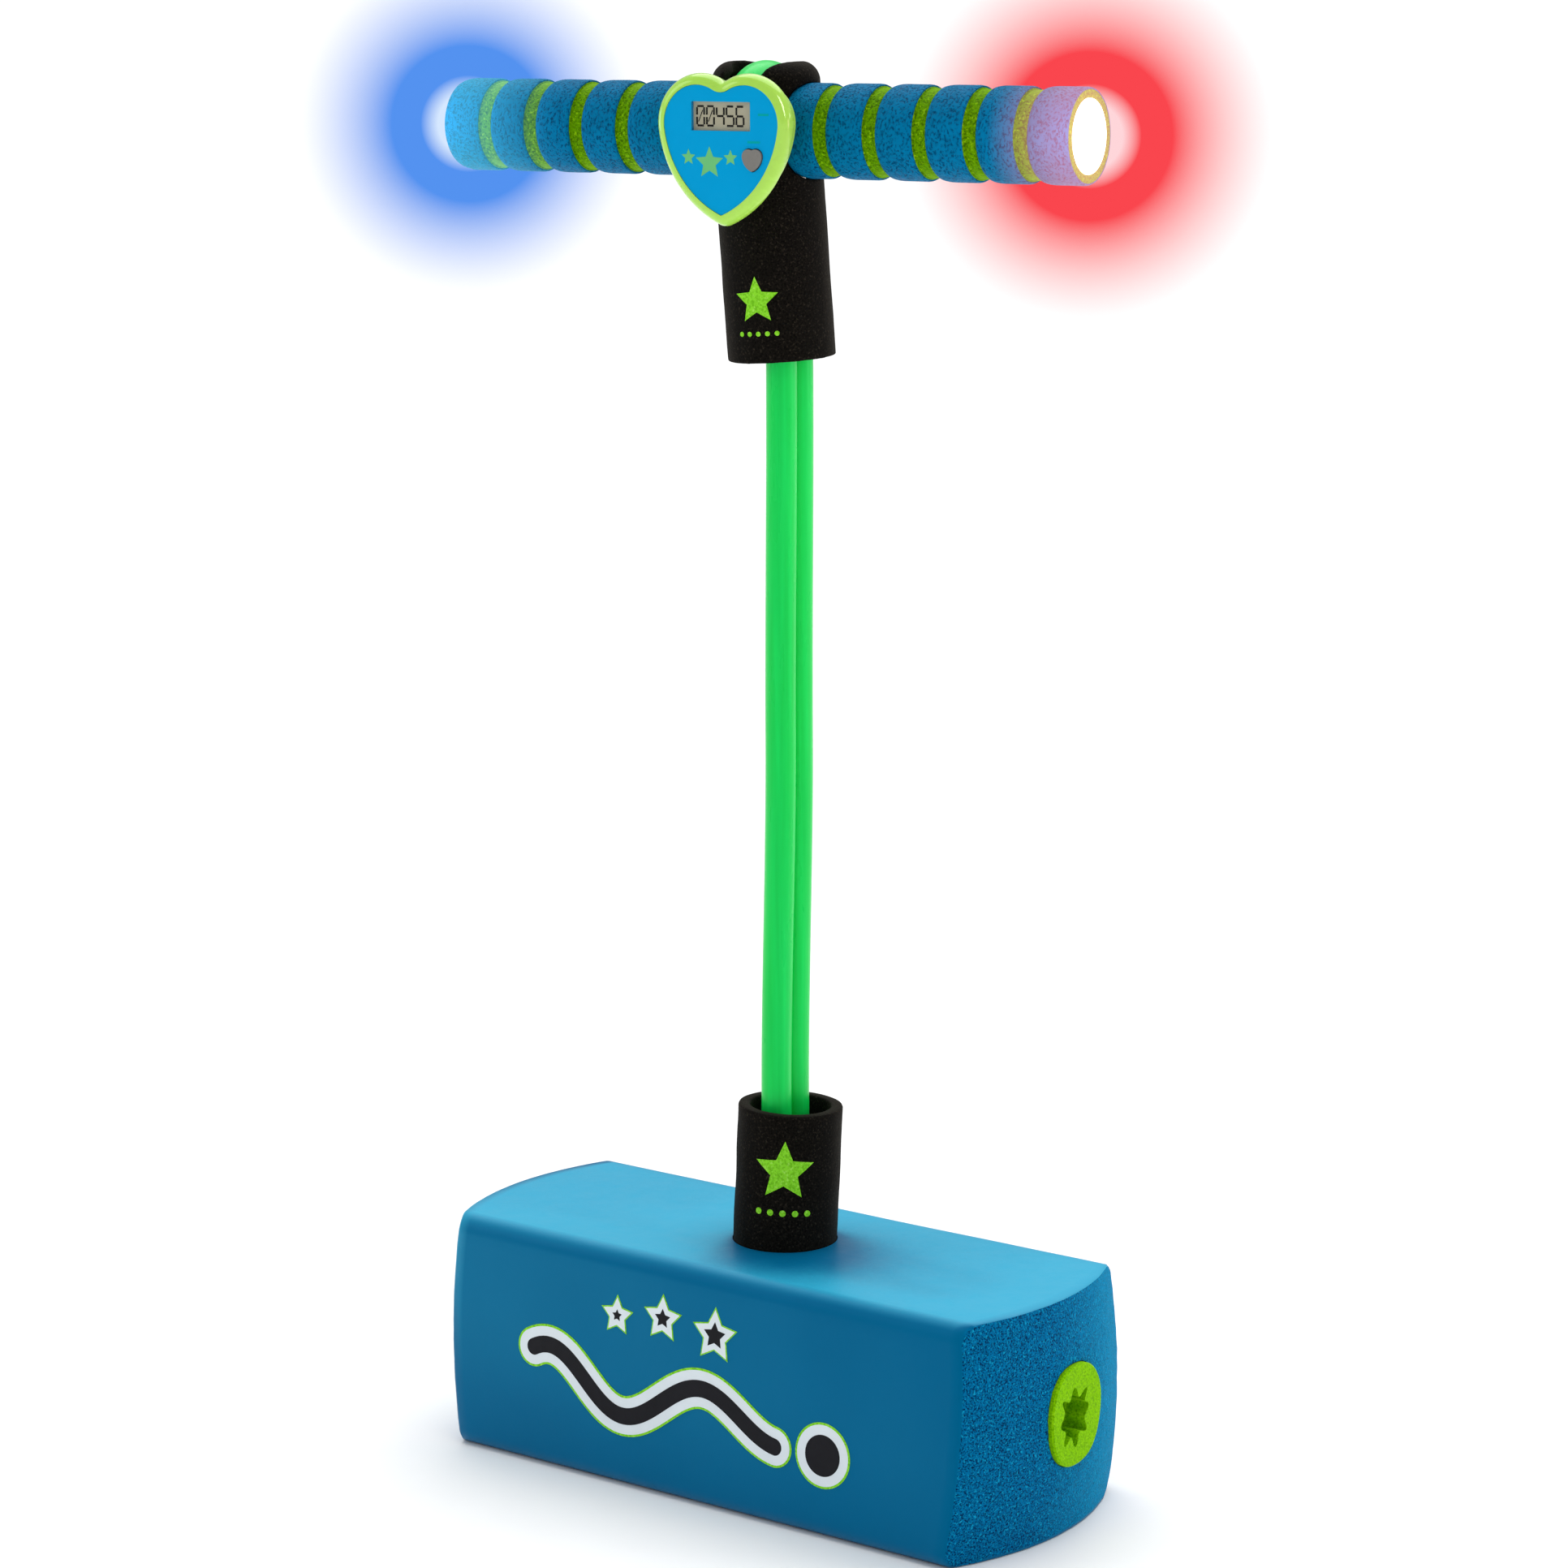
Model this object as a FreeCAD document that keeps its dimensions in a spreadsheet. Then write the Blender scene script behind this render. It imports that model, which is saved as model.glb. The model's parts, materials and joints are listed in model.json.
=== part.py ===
import FreeCAD, Part
import math
import os
import re
import Sketcher

# Foam pogo jumper: a long foam base that the rider stands on, a doubled elastic cord that rises
# through it, and a padded handlebar with a heart-shaped jump counter and a light in each end.
# X runs along the base and the handlebar, Y runs from front to back and Z is up. The origin is
# the middle of the base's flat underside. Sizes are in millimetres and angles in degrees.

DIMENSIONS = {
    # foam base and its round core
    "base_length": 280.0,
    "base_height": 95.0,
    "base_bottom_width": 118.0,
    "base_top_width": 104.0,
    "base_corner": 16.0,
    "base_top_corner": 8.0,
    "end_plan_radius": 114.0,
    "end_rise_radius": 290.0,
    "core_height": 48.5,
    "core_side": 1.0,
    "core_width": 35.0,
    "core_tall": 40.5,
    "core_corner": 14.5,
    "core_bore": 12.0,
    "core_lobe": 3.6,
    "core_lobes": 8,
    "core_slot": 14.0,
    "core_floor": 1.4,
    "end_inset": 1.0,
    "rod_diameter": 8.0,
    "rod_length": 120.0,
    "squeaker_diameter": 34.0,
    "squeaker_height": 22.0,
    "squeaker_floor": 5.0,
    "squeaker_place": 78.0,
    "reed_diameter": 9.0,
    # cord and the two foam sleeves around it
    "cord_diameter": 12.0,
    "sleeve_diameter": 41.6,
    "sleeve_bore": 32.0,
    "lower_sleeve_bottom": 71.0,
    "lower_sleeve_top": 150.5,
    "upper_sleeve_bottom": 447.0,
    "ear_height": 26.0,
    "ear_curl": 8.0,
    "ear_corner": 6.0,
    "notch_width": 16.6,
    "notch_foot": -19.0,
    "clip_room_depth": 17.0,
    "low_spread": 34.0,
    "top_spread": 36.0,
    "lean_heading": 36.87,
    # handlebar
    "handle_height": 534.0,
    "handle_turn": 6.5,
    "handle_length": 274.0,
    "tube_length": 268.6,
    "tube_diameter": 28.0,
    "tube_wall": 2.0,
    "grip_diameter": 36.0,
    "grip_core_diameter": 33.8,
    "grip_start": 17.4,
    "groove_start": 30.0,
    "groove_width": 6.3,
    "groove_pitch": 21.1,
    "grooves": 5,
    "pod_diameter": 23.8,
    "coin_cell_diameter": 11.6,
    "coin_cell_thickness": 5.4,
    # heart-shaped counter, measured from the handlebar's axis
    "heart_lobe_radius": 18.7,
    "heart_lobe_offset": 10.4,
    "heart_lobe_height": 3.55,
    "heart_tip_radius": 5.4,
    "heart_tip_height": -29.3,
    "heart_side_radius": 45.0,
    "heart_cleft_radius": 2.5,
    "counter_back_place": 21.6,
    "counter_seam_place": 24.6,
    "counter_rim_place": 28.2,
    "counter_front_place": 34.0,
    "bezel_width": 4.2,
    "bezel_rounding": 4.1,
    "rim_rounding": 1.5,
    "skirt_inset": 2.4,
    "back_inset": 3.6,
    "face_recess": 0.3,
    "button_stand": 0.8,
    "face_thickness": 1.6,
    "window_width": 25.6,
    "window_height": 10.8,
    "window_centre": 6.4,
    "board_place": 28.4,
    "board_thickness": 1.1,
    "button_scale": 0.145,
    "button_side": 13.8,
    "button_drop": -8.8,
    "button_length": 3.5,
    "boss_diameter": 5.0,
    "boss_side": 20.9,
    "boss_height": 10.5,
    "boss_head_room": 2.8,
    "pilot_depth": 6.0,
    "tip_boss_height": -28.2,
    "screw_diameter": 2.0,
    "screw_head": 4.0,
    "channel_width": 14.4,
    "channel_wall": 1.2,
    "channel_depth": 27.0,
    "channel_top": 14.8,
    "channel_foot": -23.0,
    "clip_width": 4.0,
    "clip_side": 9.0,
    "clip_wall": 2.0,
    "counter_cell_side": -14.6,
    "counter_cell_height": -8.0,
    "counter_cell_thickness": 3.05,
    "door_diameter": 13.4,
    "fit_gap": 0.1,
}

# How far the cord's middle line leans over, and at what height: it bows a little to one side.
CORD_LEAN = {48.5: 0.0, 95.0: 2.0, 150.0: 3.0, 300.0: 5.4, 443.0: 6.4, 534.0: -2.0}
RUN_STEPS = 60
LOOP_STEPS = 6
LOWER_SLEEVE_LEAN = 2.6
UPPER_SLEEVE_LEAN = 3.6
LOWER_SLEEVE_OFFSET = 2.6

doc = FreeCAD.newDocument("foam_pogo_jumper")
sheet = doc.addObject("Spreadsheet::Sheet", "sheet")
for row, (alias, value) in enumerate(DIMENSIONS.items(), start=1):
    sheet.set(f"A{row}", alias)
    sheet.set(f"B{row}", str(value))
    sheet.setAlias(f"B{row}", alias)
doc.recompute()

SUBPARTS = []


def size(alias):
    """The number that a cell of the sheet holds."""
    return float(sheet.get(alias))


def formula(text):
    """Turn each dimension's name into a link to its cell."""
    return re.sub(r"[a-z_]+", lambda word: f"sheet.{word[0]}" if word[0] in DIMENSIONS else word[0], text)


def link(item, **properties):
    """Bind properties to formulas, with the dots in a property's path written as underscores."""
    for name, text in properties.items():
        item.setExpression(name.replace("_", "."), formula(text))


def subpart(item, label, frame=FreeCAD.Placement()):
    """Name a finished piece and put it in its frame."""
    item.Label = label
    item.Placement = frame
    SUBPARTS.append(item)
    return item


# ---- frames ---------------------------------------------------------------------------------


def turned(axis, angle, place=FreeCAD.Vector()):
    """A frame turned about an axis."""
    return FreeCAD.Placement(place, FreeCAD.Rotation(axis, angle))


def lean_direction(heading):
    """The level direction at a heading."""
    angle = math.radians(heading)
    return FreeCAD.Vector(math.cos(angle), math.sin(angle), 0)


def leaning(angle, heading, place=FreeCAD.Vector()):
    """A frame whose upper end tips towards the heading by the angle."""
    return turned(FreeCAD.Vector(0, 0, 1).cross(lean_direction(heading)), angle, place)


X_AXIS = FreeCAD.Vector(1, 0, 0)
Y_AXIS = FreeCAD.Vector(0, 1, 0)
Z_AXIS = FreeCAD.Vector(0, 0, 1)
LEAN = lean_direction(size("lean_heading"))
HANDLE_CENTRE = LEAN * CORD_LEAN[size("handle_height")] + Z_AXIS * size("handle_height")
HANDLE = turned(Z_AXIS, size("handle_turn"), HANDLE_CENTRE)
HANDLE_SIDES = {
    "right": HANDLE,
    "left": HANDLE.multiply(turned(Z_AXIS, 180)),
}


# ---- solids -----------------------------------------------------------------------------------


def cylinder(name, radius, start, length, axis="z", **offsets):
    """A cylinder along an axis; start, length and offsets across the axis are formulas."""
    item = doc.addObject("Part::Cylinder", name)
    turns = {"x": turned(Y_AXIS, 90), "y": turned(X_AXIS, -90), "z": FreeCAD.Placement()}
    item.Placement = turns[axis]
    link(item, Radius=radius, Height=length)
    link(item, **{f"Placement_Base_{axis}": start})
    link(item, **{f"Placement_Base_{other}": text for other, text in offsets.items()})
    return item


def block(name, x, y, z):
    """A box from three (low, high) pairs of formulas."""
    item = doc.addObject("Part::Box", name)
    for axis, edge, (low, high) in zip("xyz", ("Length", "Width", "Height"), (x, y, z)):
        link(item, **{edge: f"({high}) - ({low})", f"Placement_Base_{axis}": low})
    return item


def fused(name, *items):
    """One solid from several that touch."""
    item = doc.addObject("Part::MultiFuse", name)
    item.Shapes = list(items)
    return item


def cut(name, base, *tools):
    """A solid with one or more others taken out of it."""
    item = doc.addObject("Part::Cut", name)
    item.Base = base
    item.Tool = tools[0] if len(tools) == 1 else fused(f"{name}_tools", *tools)
    return item


def grouped(name, *items):
    """Several separate solids of one kind that share a node."""
    item = doc.addObject("Part::Compound", name)
    item.Links = list(items)
    return item


# ---- bodies and sketches ----------------------------------------------------------------------


def new_body(name):
    """An empty body for sketches and features."""
    return doc.addObject("PartDesign::Body", f"{name}_body")


def sketch_on(body, plane, name, shift=FreeCAD.Vector()):
    """A sketch on one of the body's origin planes, moved by a shift in the plane's own axes."""
    sketch = body.newObject("Sketcher::SketchObject", f"{body.Name}_{name}")
    support = next(item for item in body.Origin.OriginFeatures if item.Role == plane)
    sketch.AttachmentSupport = (support, [""])
    sketch.MapMode = "FlatFace"
    sketch.AttachmentOffset = FreeCAD.Placement(shift, FreeCAD.Rotation())
    return sketch


def constrain(sketch, text, kind, *where):
    """Add a dimension to a sketch and bind it to a formula."""
    index = sketch.addConstraint(Sketcher.Constraint(kind, *where, value_of(text)))
    sketch.setExpression(f"Constraints[{index}]", formula(text))


def value_of(text):
    """Work out a formula's number, which gives a sketch its starting shape."""
    named = re.sub(r"[a-z_]+", lambda word: str(size(word[0])), text)
    return FreeCAD.Units.Quantity(named).Value


def add_circle(sketch, diameter, across="0", up="0"):
    """A circle whose diameter and centre are formulas."""
    centre = FreeCAD.Vector(value_of(across), value_of(up), 0)
    circle = sketch.addGeometry(Part.Circle(centre, Z_AXIS, value_of(diameter) / 2))
    constrain(sketch, diameter, "Diameter", circle)
    constrain(sketch, across, "DistanceX", -1, 1, circle, 3)
    constrain(sketch, up, "DistanceY", -1, 1, circle, 3)


def add_polygon(sketch, corners):
    """A closed outline through corners that are pairs of formulas."""
    points = [FreeCAD.Vector(value_of(across), value_of(up), 0) for across, up in corners]
    lines = []
    for number, point in enumerate(points):
        lines.append(sketch.addGeometry(Part.LineSegment(point, points[(number + 1) % len(points)])))
    for number, (across, up) in enumerate(corners):
        sketch.addConstraint(
            Sketcher.Constraint("Coincident", lines[number - 1], 2, lines[number], 1)
        )
        constrain(sketch, across, "DistanceX", -1, 1, lines[number], 1)
        constrain(sketch, up, "DistanceY", -1, 1, lines[number], 1)


def add_rounded(sketch, width, height, radius, across="core_side", up="core_height"):
    """An oblong with four round corners, centred on a point given by formulas."""
    reach_x = value_of(width) / 2 - value_of(radius)
    reach_y = value_of(height) / 2 - value_of(radius)
    centre = FreeCAD.Vector(value_of(across), value_of(up), 0)
    arcs = []
    for quarter, (side, rise) in enumerate(((1, 1), (-1, 1), (-1, -1), (1, -1))):
        middle = centre + FreeCAD.Vector(side * reach_x, rise * reach_y, 0)
        corner = Part.Circle(middle, Z_AXIS, value_of(radius))
        start = quarter * math.pi / 2
        arcs.append(sketch.addGeometry(Part.ArcOfCircle(corner, start, start + math.pi / 2)))
    for number, arc in enumerate(arcs):
        following = arcs[(number + 1) % 4]
        ends = sketch.Geometry[arc].EndPoint, sketch.Geometry[following].StartPoint
        line = sketch.addGeometry(Part.LineSegment(*ends))
        sketch.addConstraint(Sketcher.Constraint("Tangent", arc, 2, line, 1))
        sketch.addConstraint(Sketcher.Constraint("Tangent", line, 2, following, 1))
        sketch.addConstraint(Sketcher.Constraint("Horizontal" if number % 2 == 0 else "Vertical", line))
    for arc in arcs[1:]:
        sketch.addConstraint(Sketcher.Constraint("Equal", arcs[0], arc))
    constrain(sketch, radius, "Radius", arcs[0])
    for arc, sign in ((arcs[0], "+"), (arcs[2], "-")):
        constrain(sketch, f"{across} {sign} (({width}) / 2 - ({radius}))", "DistanceX", -1, 1, arc, 3)
        constrain(sketch, f"{up} {sign} (({height}) / 2 - ({radius}))", "DistanceY", -1, 1, arc, 3)


def pad(body, sketch, length, midplane=False):
    """A sketch made solid over a length."""
    item = body.newObject("PartDesign::Pad", f"{sketch.Name}_pad")
    item.Profile = sketch
    item.Midplane = midplane
    link(item, Length=length)
    return item


def pocket(body, sketch, length, midplane=False, backwards=False):
    """A sketch cut away over a length."""
    item = body.newObject("PartDesign::Pocket", f"{sketch.Name}_pocket")
    item.Profile = sketch
    item.Midplane = midplane
    item.Reversed = backwards
    link(item, Length=length)
    return item


# ---- foam base --------------------------------------------------------------------------------


def foam_base():
    """A long foam block with sloping sides, domed ends, a bore for the core and a sleeve socket."""
    body = new_body("foam_base")
    section = sketch_on(body, "YZ_Plane", "section")
    add_polygon(
        section,
        [
            ("0 - base_bottom_width / 2", "0"),
            ("base_bottom_width / 2", "0"),
            ("base_top_width / 2", "base_height"),
            ("0 - base_top_width / 2", "base_height"),
        ],
    )
    block_body = pad(body, section, "base_length", midplane=True)
    for height, radius in (("0", "base_corner"), ("base_height", "base_top_corner")):
        block_body = rounded_corners(body, block_body, height, radius)

    plan_centre = size("base_length") / 2 - size("end_plan_radius")
    dome = sketch_on(body, "XZ_Plane", "dome", FreeCAD.Vector(plan_centre, 0, 0))
    add_dome_cutter(dome)
    groove = body.newObject("PartDesign::Groove", "foam_base_dome")
    groove.Profile = dome
    groove.ReferenceAxis = (dome, ["V_Axis"])
    groove.Angle = 120
    groove.Midplane = True
    mirrored = body.newObject("PartDesign::Mirrored", "foam_base_domes")
    mirrored.Originals = [groove]
    middle = next(item for item in body.Origin.OriginFeatures if item.Role == "YZ_Plane")
    mirrored.MirrorPlane = (middle, [""])
    body.Tip = mirrored
    doc.recompute()

    bore = sketch_on(body, "YZ_Plane", "bore")
    roomy = [f"{side} + 2 * fit_gap" for side in ("core_width", "core_tall")]
    add_rounded(bore, *roomy, "core_corner + fit_gap")
    body.Tip = pocket(body, bore, "base_length + base_height", midplane=True)
    place = LEAN * LOWER_SLEEVE_OFFSET + Z_AXIS * (size("base_height") + 1)
    socket = sketch_on(body, "XY_Plane", "socket", place)
    add_circle(socket, "sleeve_diameter + 30 * fit_gap")
    body.Tip = pocket(body, socket, "base_height - core_height")
    nest_place = X_AXIS * size("squeaker_place") + Z_AXIS * size("squeaker_floor")
    nest = sketch_on(body, "XY_Plane", "nest", nest_place)
    add_circle(nest, "squeaker_diameter + 4 * fit_gap")
    body.Tip = pocket(body, nest, "core_height - squeaker_floor", backwards=True)
    subpart(body, "foam_base")


def rounded_corners(body, base, height, radius):
    """Rounds the long edges that lie at a height."""
    doc.recompute()
    corners = [
        f"Edge{number}"
        for number, edge in enumerate(base.Shape.Edges, start=1)
        if abs(edge.tangentAt(edge.FirstParameter).x) > 0.999
        and abs(edge.CenterOfMass.z - value_of(height)) < 0.001
    ]
    rounding = body.newObject("PartDesign::Fillet", f"{body.Name}_{radius}")
    rounding.Base = (base, corners)
    link(rounding, Radius=radius)
    return rounding


def add_dome_cutter(sketch):
    """The waste beyond a domed end: an arc on the inside and straight lines around it."""
    half = size("base_height") / 2
    reach = half + 8
    radius = size("end_rise_radius")
    centre = FreeCAD.Vector(size("end_plan_radius") - radius, half, 0)
    sweep = math.asin(reach / radius)
    arc = sketch.addGeometry(Part.ArcOfCircle(Part.Circle(centre, Z_AXIS, radius), -sweep, sweep))
    outer = size("end_plan_radius") + 50
    low = centre + FreeCAD.Vector(radius * math.cos(sweep), -reach, 0)
    high = centre + FreeCAD.Vector(radius * math.cos(sweep), reach, 0)
    corners = [low, FreeCAD.Vector(outer, low.y, 0), FreeCAD.Vector(outer, high.y, 0), high]
    lines = [sketch.addGeometry(Part.LineSegment(a, b)) for a, b in zip(corners, corners[1:])]
    sketch.addConstraint(Sketcher.Constraint("Coincident", arc, 1, lines[0], 1))
    sketch.addConstraint(Sketcher.Constraint("Coincident", lines[0], 2, lines[1], 1))
    sketch.addConstraint(Sketcher.Constraint("Coincident", lines[1], 2, lines[2], 1))
    sketch.addConstraint(Sketcher.Constraint("Coincident", lines[2], 2, arc, 2))
    constrain(sketch, "end_rise_radius", "Radius", arc)
    constrain(sketch, "end_plan_radius - end_rise_radius", "DistanceX", -1, 1, arc, 3)
    constrain(sketch, "base_height / 2", "DistanceY", -1, 1, arc, 3)


def core_tube():
    """The foam core, a rounded oblong: a lobed bore along it and a slot for the cord's lower loop."""
    body = new_body("core_tube")
    outline = sketch_on(body, "YZ_Plane", "outline")
    add_rounded(outline, "core_width", "core_tall", "core_corner")
    pad(body, outline, "base_length - 2 * end_inset", midplane=True)
    centre = FreeCAD.Vector(size("core_side"), size("core_height"), 0)
    bore = sketch_on(body, "YZ_Plane", "bore", centre)
    add_circle(bore, "core_bore")
    pocket(body, bore, "2 * base_length", midplane=True)
    lobe = sketch_on(body, "YZ_Plane", "lobe", centre)
    add_circle(lobe, "core_lobe", "core_bore / 2")
    lobe_pocket = pocket(body, lobe, "2 * base_length", midplane=True)
    doc.recompute()
    lobes = body.newObject("PartDesign::PolarPattern", "core_lobes")
    lobes.Originals = [lobe_pocket]
    lobes.Axis = (lobe, ["N_Axis"])
    lobes.Angle = 360
    link(lobes, Occurrences="core_lobes")
    body.Tip = lobes
    slot = sketch_on(body, "XZ_Plane", "slot")
    add_polygon(
        slot,
        [
            ("0 - core_slot / 2", "core_height - core_tall / 2 + core_floor"),
            ("core_slot / 2", "core_height - core_tall / 2 + core_floor"),
            ("core_slot / 2", "core_height + core_tall"),
            ("0 - core_slot / 2", "core_height + core_tall"),
        ],
    )
    body.Tip = pocket(body, slot, "2 * cord_diameter + rod_diameter + 2", midplane=True)
    subpart(body, "core_tube")


def anchor_rod():
    """A stiff rod in the middle of the core, which the cord's lower loop pulls against."""
    body = new_body("anchor_rod")
    outline = sketch_on(body, "YZ_Plane", "outline")
    add_circle(outline, "rod_diameter", "0", "core_height")
    add_circle(outline, "rod_diameter / 2", "0", "core_height")
    body.Tip = pad(body, outline, "rod_length", midplane=True)
    subpart(body, "anchor_rod")


def squeaker():
    """A hollow rubber bulb under the core, with the reed that it blows through."""
    bulb = cylinder("bulb_outside", "squeaker_diameter / 2", "0", "squeaker_height")
    hollow = cylinder("bulb_inside", "squeaker_diameter / 2 - 2", "2", "squeaker_height - 4")
    mouth = cylinder("bulb_mouth", "reed_diameter / 2 + fit_gap", "squeaker_height - 3", "6")
    bulb = cut("bulb", bulb, hollow, mouth)
    floor = size("squeaker_floor") + size("fit_gap")
    place = FreeCAD.Placement(FreeCAD.Vector(size("squeaker_place"), 0, floor), FreeCAD.Rotation())
    subpart(bulb, "squeaker_bulb", place)
    barrel = cylinder("reed_outside", "reed_diameter / 2", "squeaker_height - 7", "6.8")
    passage = cylinder("reed_passage", "1.5", "squeaker_height - 9", "12")
    subpart(cut("reed", barrel, passage), "squeaker_reed", place)


# ---- cord and sleeves -------------------------------------------------------------------------


def cord_lean(height):
    """How far the cord's middle line leans at a height, eased between the listed heights."""
    heights = sorted(CORD_LEAN)
    for low, high in zip(heights, heights[1:]):
        if height <= high:
            share = (height - low) / (high - low)
            eased = share * share * (3 - 2 * share)
            return CORD_LEAN[low] + (CORD_LEAN[high] - CORD_LEAN[low]) * max(eased, 0)
    return CORD_LEAN[heights[-1]]


def cord_spread(height):
    """Half the distance between the strands: wide at the loops, touching between them."""
    touching = size("cord_diameter") / 2 + size("fit_gap") / 2
    low_loop = size("rod_diameter") / 2 + size("cord_diameter") / 2 + 2 * size("fit_gap")
    top_loop = size("tube_diameter") / 2 + size("cord_diameter") / 2 + 7 * size("fit_gap")
    low_share = min(max((height - size("core_height")) / size("low_spread"), 0), 1)
    top_share = min(max((size("handle_height") - height) / size("top_spread"), 0), 1)
    eased = [share * share * (3 - 2 * share) for share in (low_share, top_share)]
    spread = touching + (low_loop - touching) * (1 - eased[0])
    return spread + (top_loop - touching) * (1 - eased[1])


def cord_point(height, side):
    """A point of a strand's middle line; side is -1 for the front strand and 1 for the back one."""
    low, high = size("core_height"), size("handle_height")
    turn = math.radians(size("handle_turn") * (height - low) / (high - low))
    across = FreeCAD.Vector(-math.sin(turn), math.cos(turn), 0)
    return LEAN * cord_lean(height) + across * (side * cord_spread(height)) + Z_AXIS * height


def loop_points(height, side, upwards):
    """The quarter of a loop from the strand on one side to the loop's middle."""
    start = cord_point(height, side)
    centre = (start + cord_point(height, -side)) / 2
    reach = start - centre
    points = []
    for step in range(1, LOOP_STEPS + 1):
        angle = math.radians(90 * step / LOOP_STEPS)
        points.append(centre + reach * math.cos(angle) + Z_AXIS * (upwards * reach.Length * math.sin(angle)))
    return points


def round_section(centre, along):
    """The cord's outline at a point, square to its direction and never twisted."""
    across = X_AXIS - along * X_AXIS.dot(along)
    frame = FreeCAD.Rotation(across, along.cross(across), along, "ZXY")
    circle = Part.Circle(FreeCAD.Vector(), Z_AXIS, size("cord_diameter") / 2).toShape()
    circle.Placement = FreeCAD.Placement(centre, frame)
    return Part.Wire([circle])


def half_cord(side):
    """One strand with half of each loop, lofted through round sections."""
    low, high = size("core_height"), size("handle_height")
    run = [cord_point(low + (high - low) * step / RUN_STEPS, side) for step in range(RUN_STEPS + 1)]
    points = list(reversed(loop_points(low, side, -1))) + run + loop_points(high, side, 1)
    before = [cord_point(low, -side) - cord_point(low, side) + points[0]] + points[:-1]
    after = points[1:] + [cord_point(high, -side) - cord_point(high, side) + points[-1]]
    sections = []
    for number, point in enumerate(points):
        along = after[number] - before[number]
        if number == 0:
            along = points[0] - before[0]
        if number == len(points) - 1:
            along = after[-1] - points[-1]
        sections.append(round_section(point, along.normalize()))
    return Part.makeLoft(sections, True, True)


def bungee_loop():
    """The endless elastic cord: down round the rod, up and over the handlebar's tube."""
    item = doc.addObject("Part::Feature", "bungee_loop_sweep")
    item.Shape = half_cord(-1).fuse(half_cord(1))
    subpart(item, "bungee_loop")


def lower_sleeve():
    """The short foam tube that stands in the base's socket round the strands."""
    body = new_body("lower_sleeve")
    rim = sketch_on(body, "XY_Plane", "rim", Z_AXIS * (size("lower_sleeve_bottom") - size("base_height")))
    add_circle(rim, "sleeve_diameter")
    add_circle(rim, "sleeve_bore")
    body.Tip = pad(body, rim, "lower_sleeve_top - lower_sleeve_bottom")
    place = LEAN * LOWER_SLEEVE_OFFSET + Z_AXIS * size("base_height")
    subpart(body, "lower_sleeve", leaning(LOWER_SLEEVE_LEAN, size("lean_heading"), place))


def rounded_post(name, radius, corner, start, top):
    """An upright cylinder with a rounded top edge."""
    trunk = cylinder(f"{name}_trunk", radius, start, f"({top}) - ({corner}) - ({start})")
    crown = cylinder(f"{name}_crown", f"({radius}) - ({corner})", start, f"({top}) - ({start})")
    edge = doc.addObject("Part::Torus", f"{name}_edge")
    link(edge, Radius1=f"({radius}) - ({corner})", Radius2=corner, Placement_Base_z=f"({top}) - ({corner})")
    return fused(name, trunk, crown, edge)


def upper_sleeve():
    """The foam sleeve under the handlebar: an ear each side of the cord, curled in at the top."""
    foot = "upper_sleeve_bottom - handle_height"
    wall = "(sleeve_diameter - sleeve_bore) / 2"
    outside = rounded_post("upper_outside", "sleeve_diameter / 2", "ear_curl", foot, "ear_height")
    inside = rounded_post(
        "upper_inside", "sleeve_bore / 2", f"ear_curl - {wall}", f"{foot} - 1", f"ear_height - {wall}"
    )
    mouth_radius = "sleeve_diameter / 2 - ear_curl"
    mouth = cylinder("upper_mouth", mouth_radius, foot, f"2 * ear_height - ({foot})")
    sleeve = cut("upper_tube", outside, inside, mouth)
    sleeve.Placement = leaning(-UPPER_SLEEVE_LEAN, size("lean_heading") - size("handle_turn"))
    across = "sleeve_diameter"
    half = "notch_width / 2"
    shoulder = "ear_height - ear_corner"
    flare = block(
        "notch_flare", (f"0 - {half} - ear_corner", f"{half} + ear_corner"),
        (f"0 - {across}", across), (shoulder, "2 * ear_height"),
    )
    corners = [
        cylinder(
            f"notch_corner_{side}", "ear_corner", f"0 - 2 * {across}", f"4 * {across}", "y",
            x=place, z=shoulder,
        )
        for side, place in (("left", f"0 - {half} - ear_corner"), ("right", f"{half} + ear_corner"))
    ]
    room_radius = "grip_diameter / 2 + fit_gap"
    room_start = "grip_start - fit_gap"
    tools = [
        cylinder("handle_passage", "tube_diameter / 2 + fit_gap", f"0 - {across}", f"2 * {across}", "x"),
        cylinder("notch_foot", half, f"0 - {across}", f"2 * {across}", "y", z="notch_foot"),
        block("notch", (f"0 - {half}", half), (f"0 - {across}", across), ("notch_foot", "2 * ear_height")),
        cut("notch_mouth", flare, *corners),
        cylinder("left_grip_room", room_radius, f"0 - ({room_start}) - {across}", across, "x"),
        cylinder("right_grip_room", room_radius, room_start, across, "x"),
        block(
            "clip_room", (f"0 - ({room_start})", room_start),
            (f"0 - {across}", "0"), ("0 - clip_room_depth", "clip_room_depth"),
        ),
    ]
    subpart(cut("upper_cut", sleeve, *tools), "upper_sleeve", HANDLE)


# ---- handlebar --------------------------------------------------------------------------------


def handle_tube():
    """The stiff pipe inside the grips, which the cord loops over."""
    body = new_body("handle_tube")
    outline = sketch_on(body, "YZ_Plane", "outline")
    add_circle(outline, "tube_diameter")
    add_circle(outline, "tube_diameter - 2 * tube_wall")
    body.Tip = pad(body, outline, "tube_length", midplane=True)
    subpart(body, "handle_tube", HANDLE)


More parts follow.
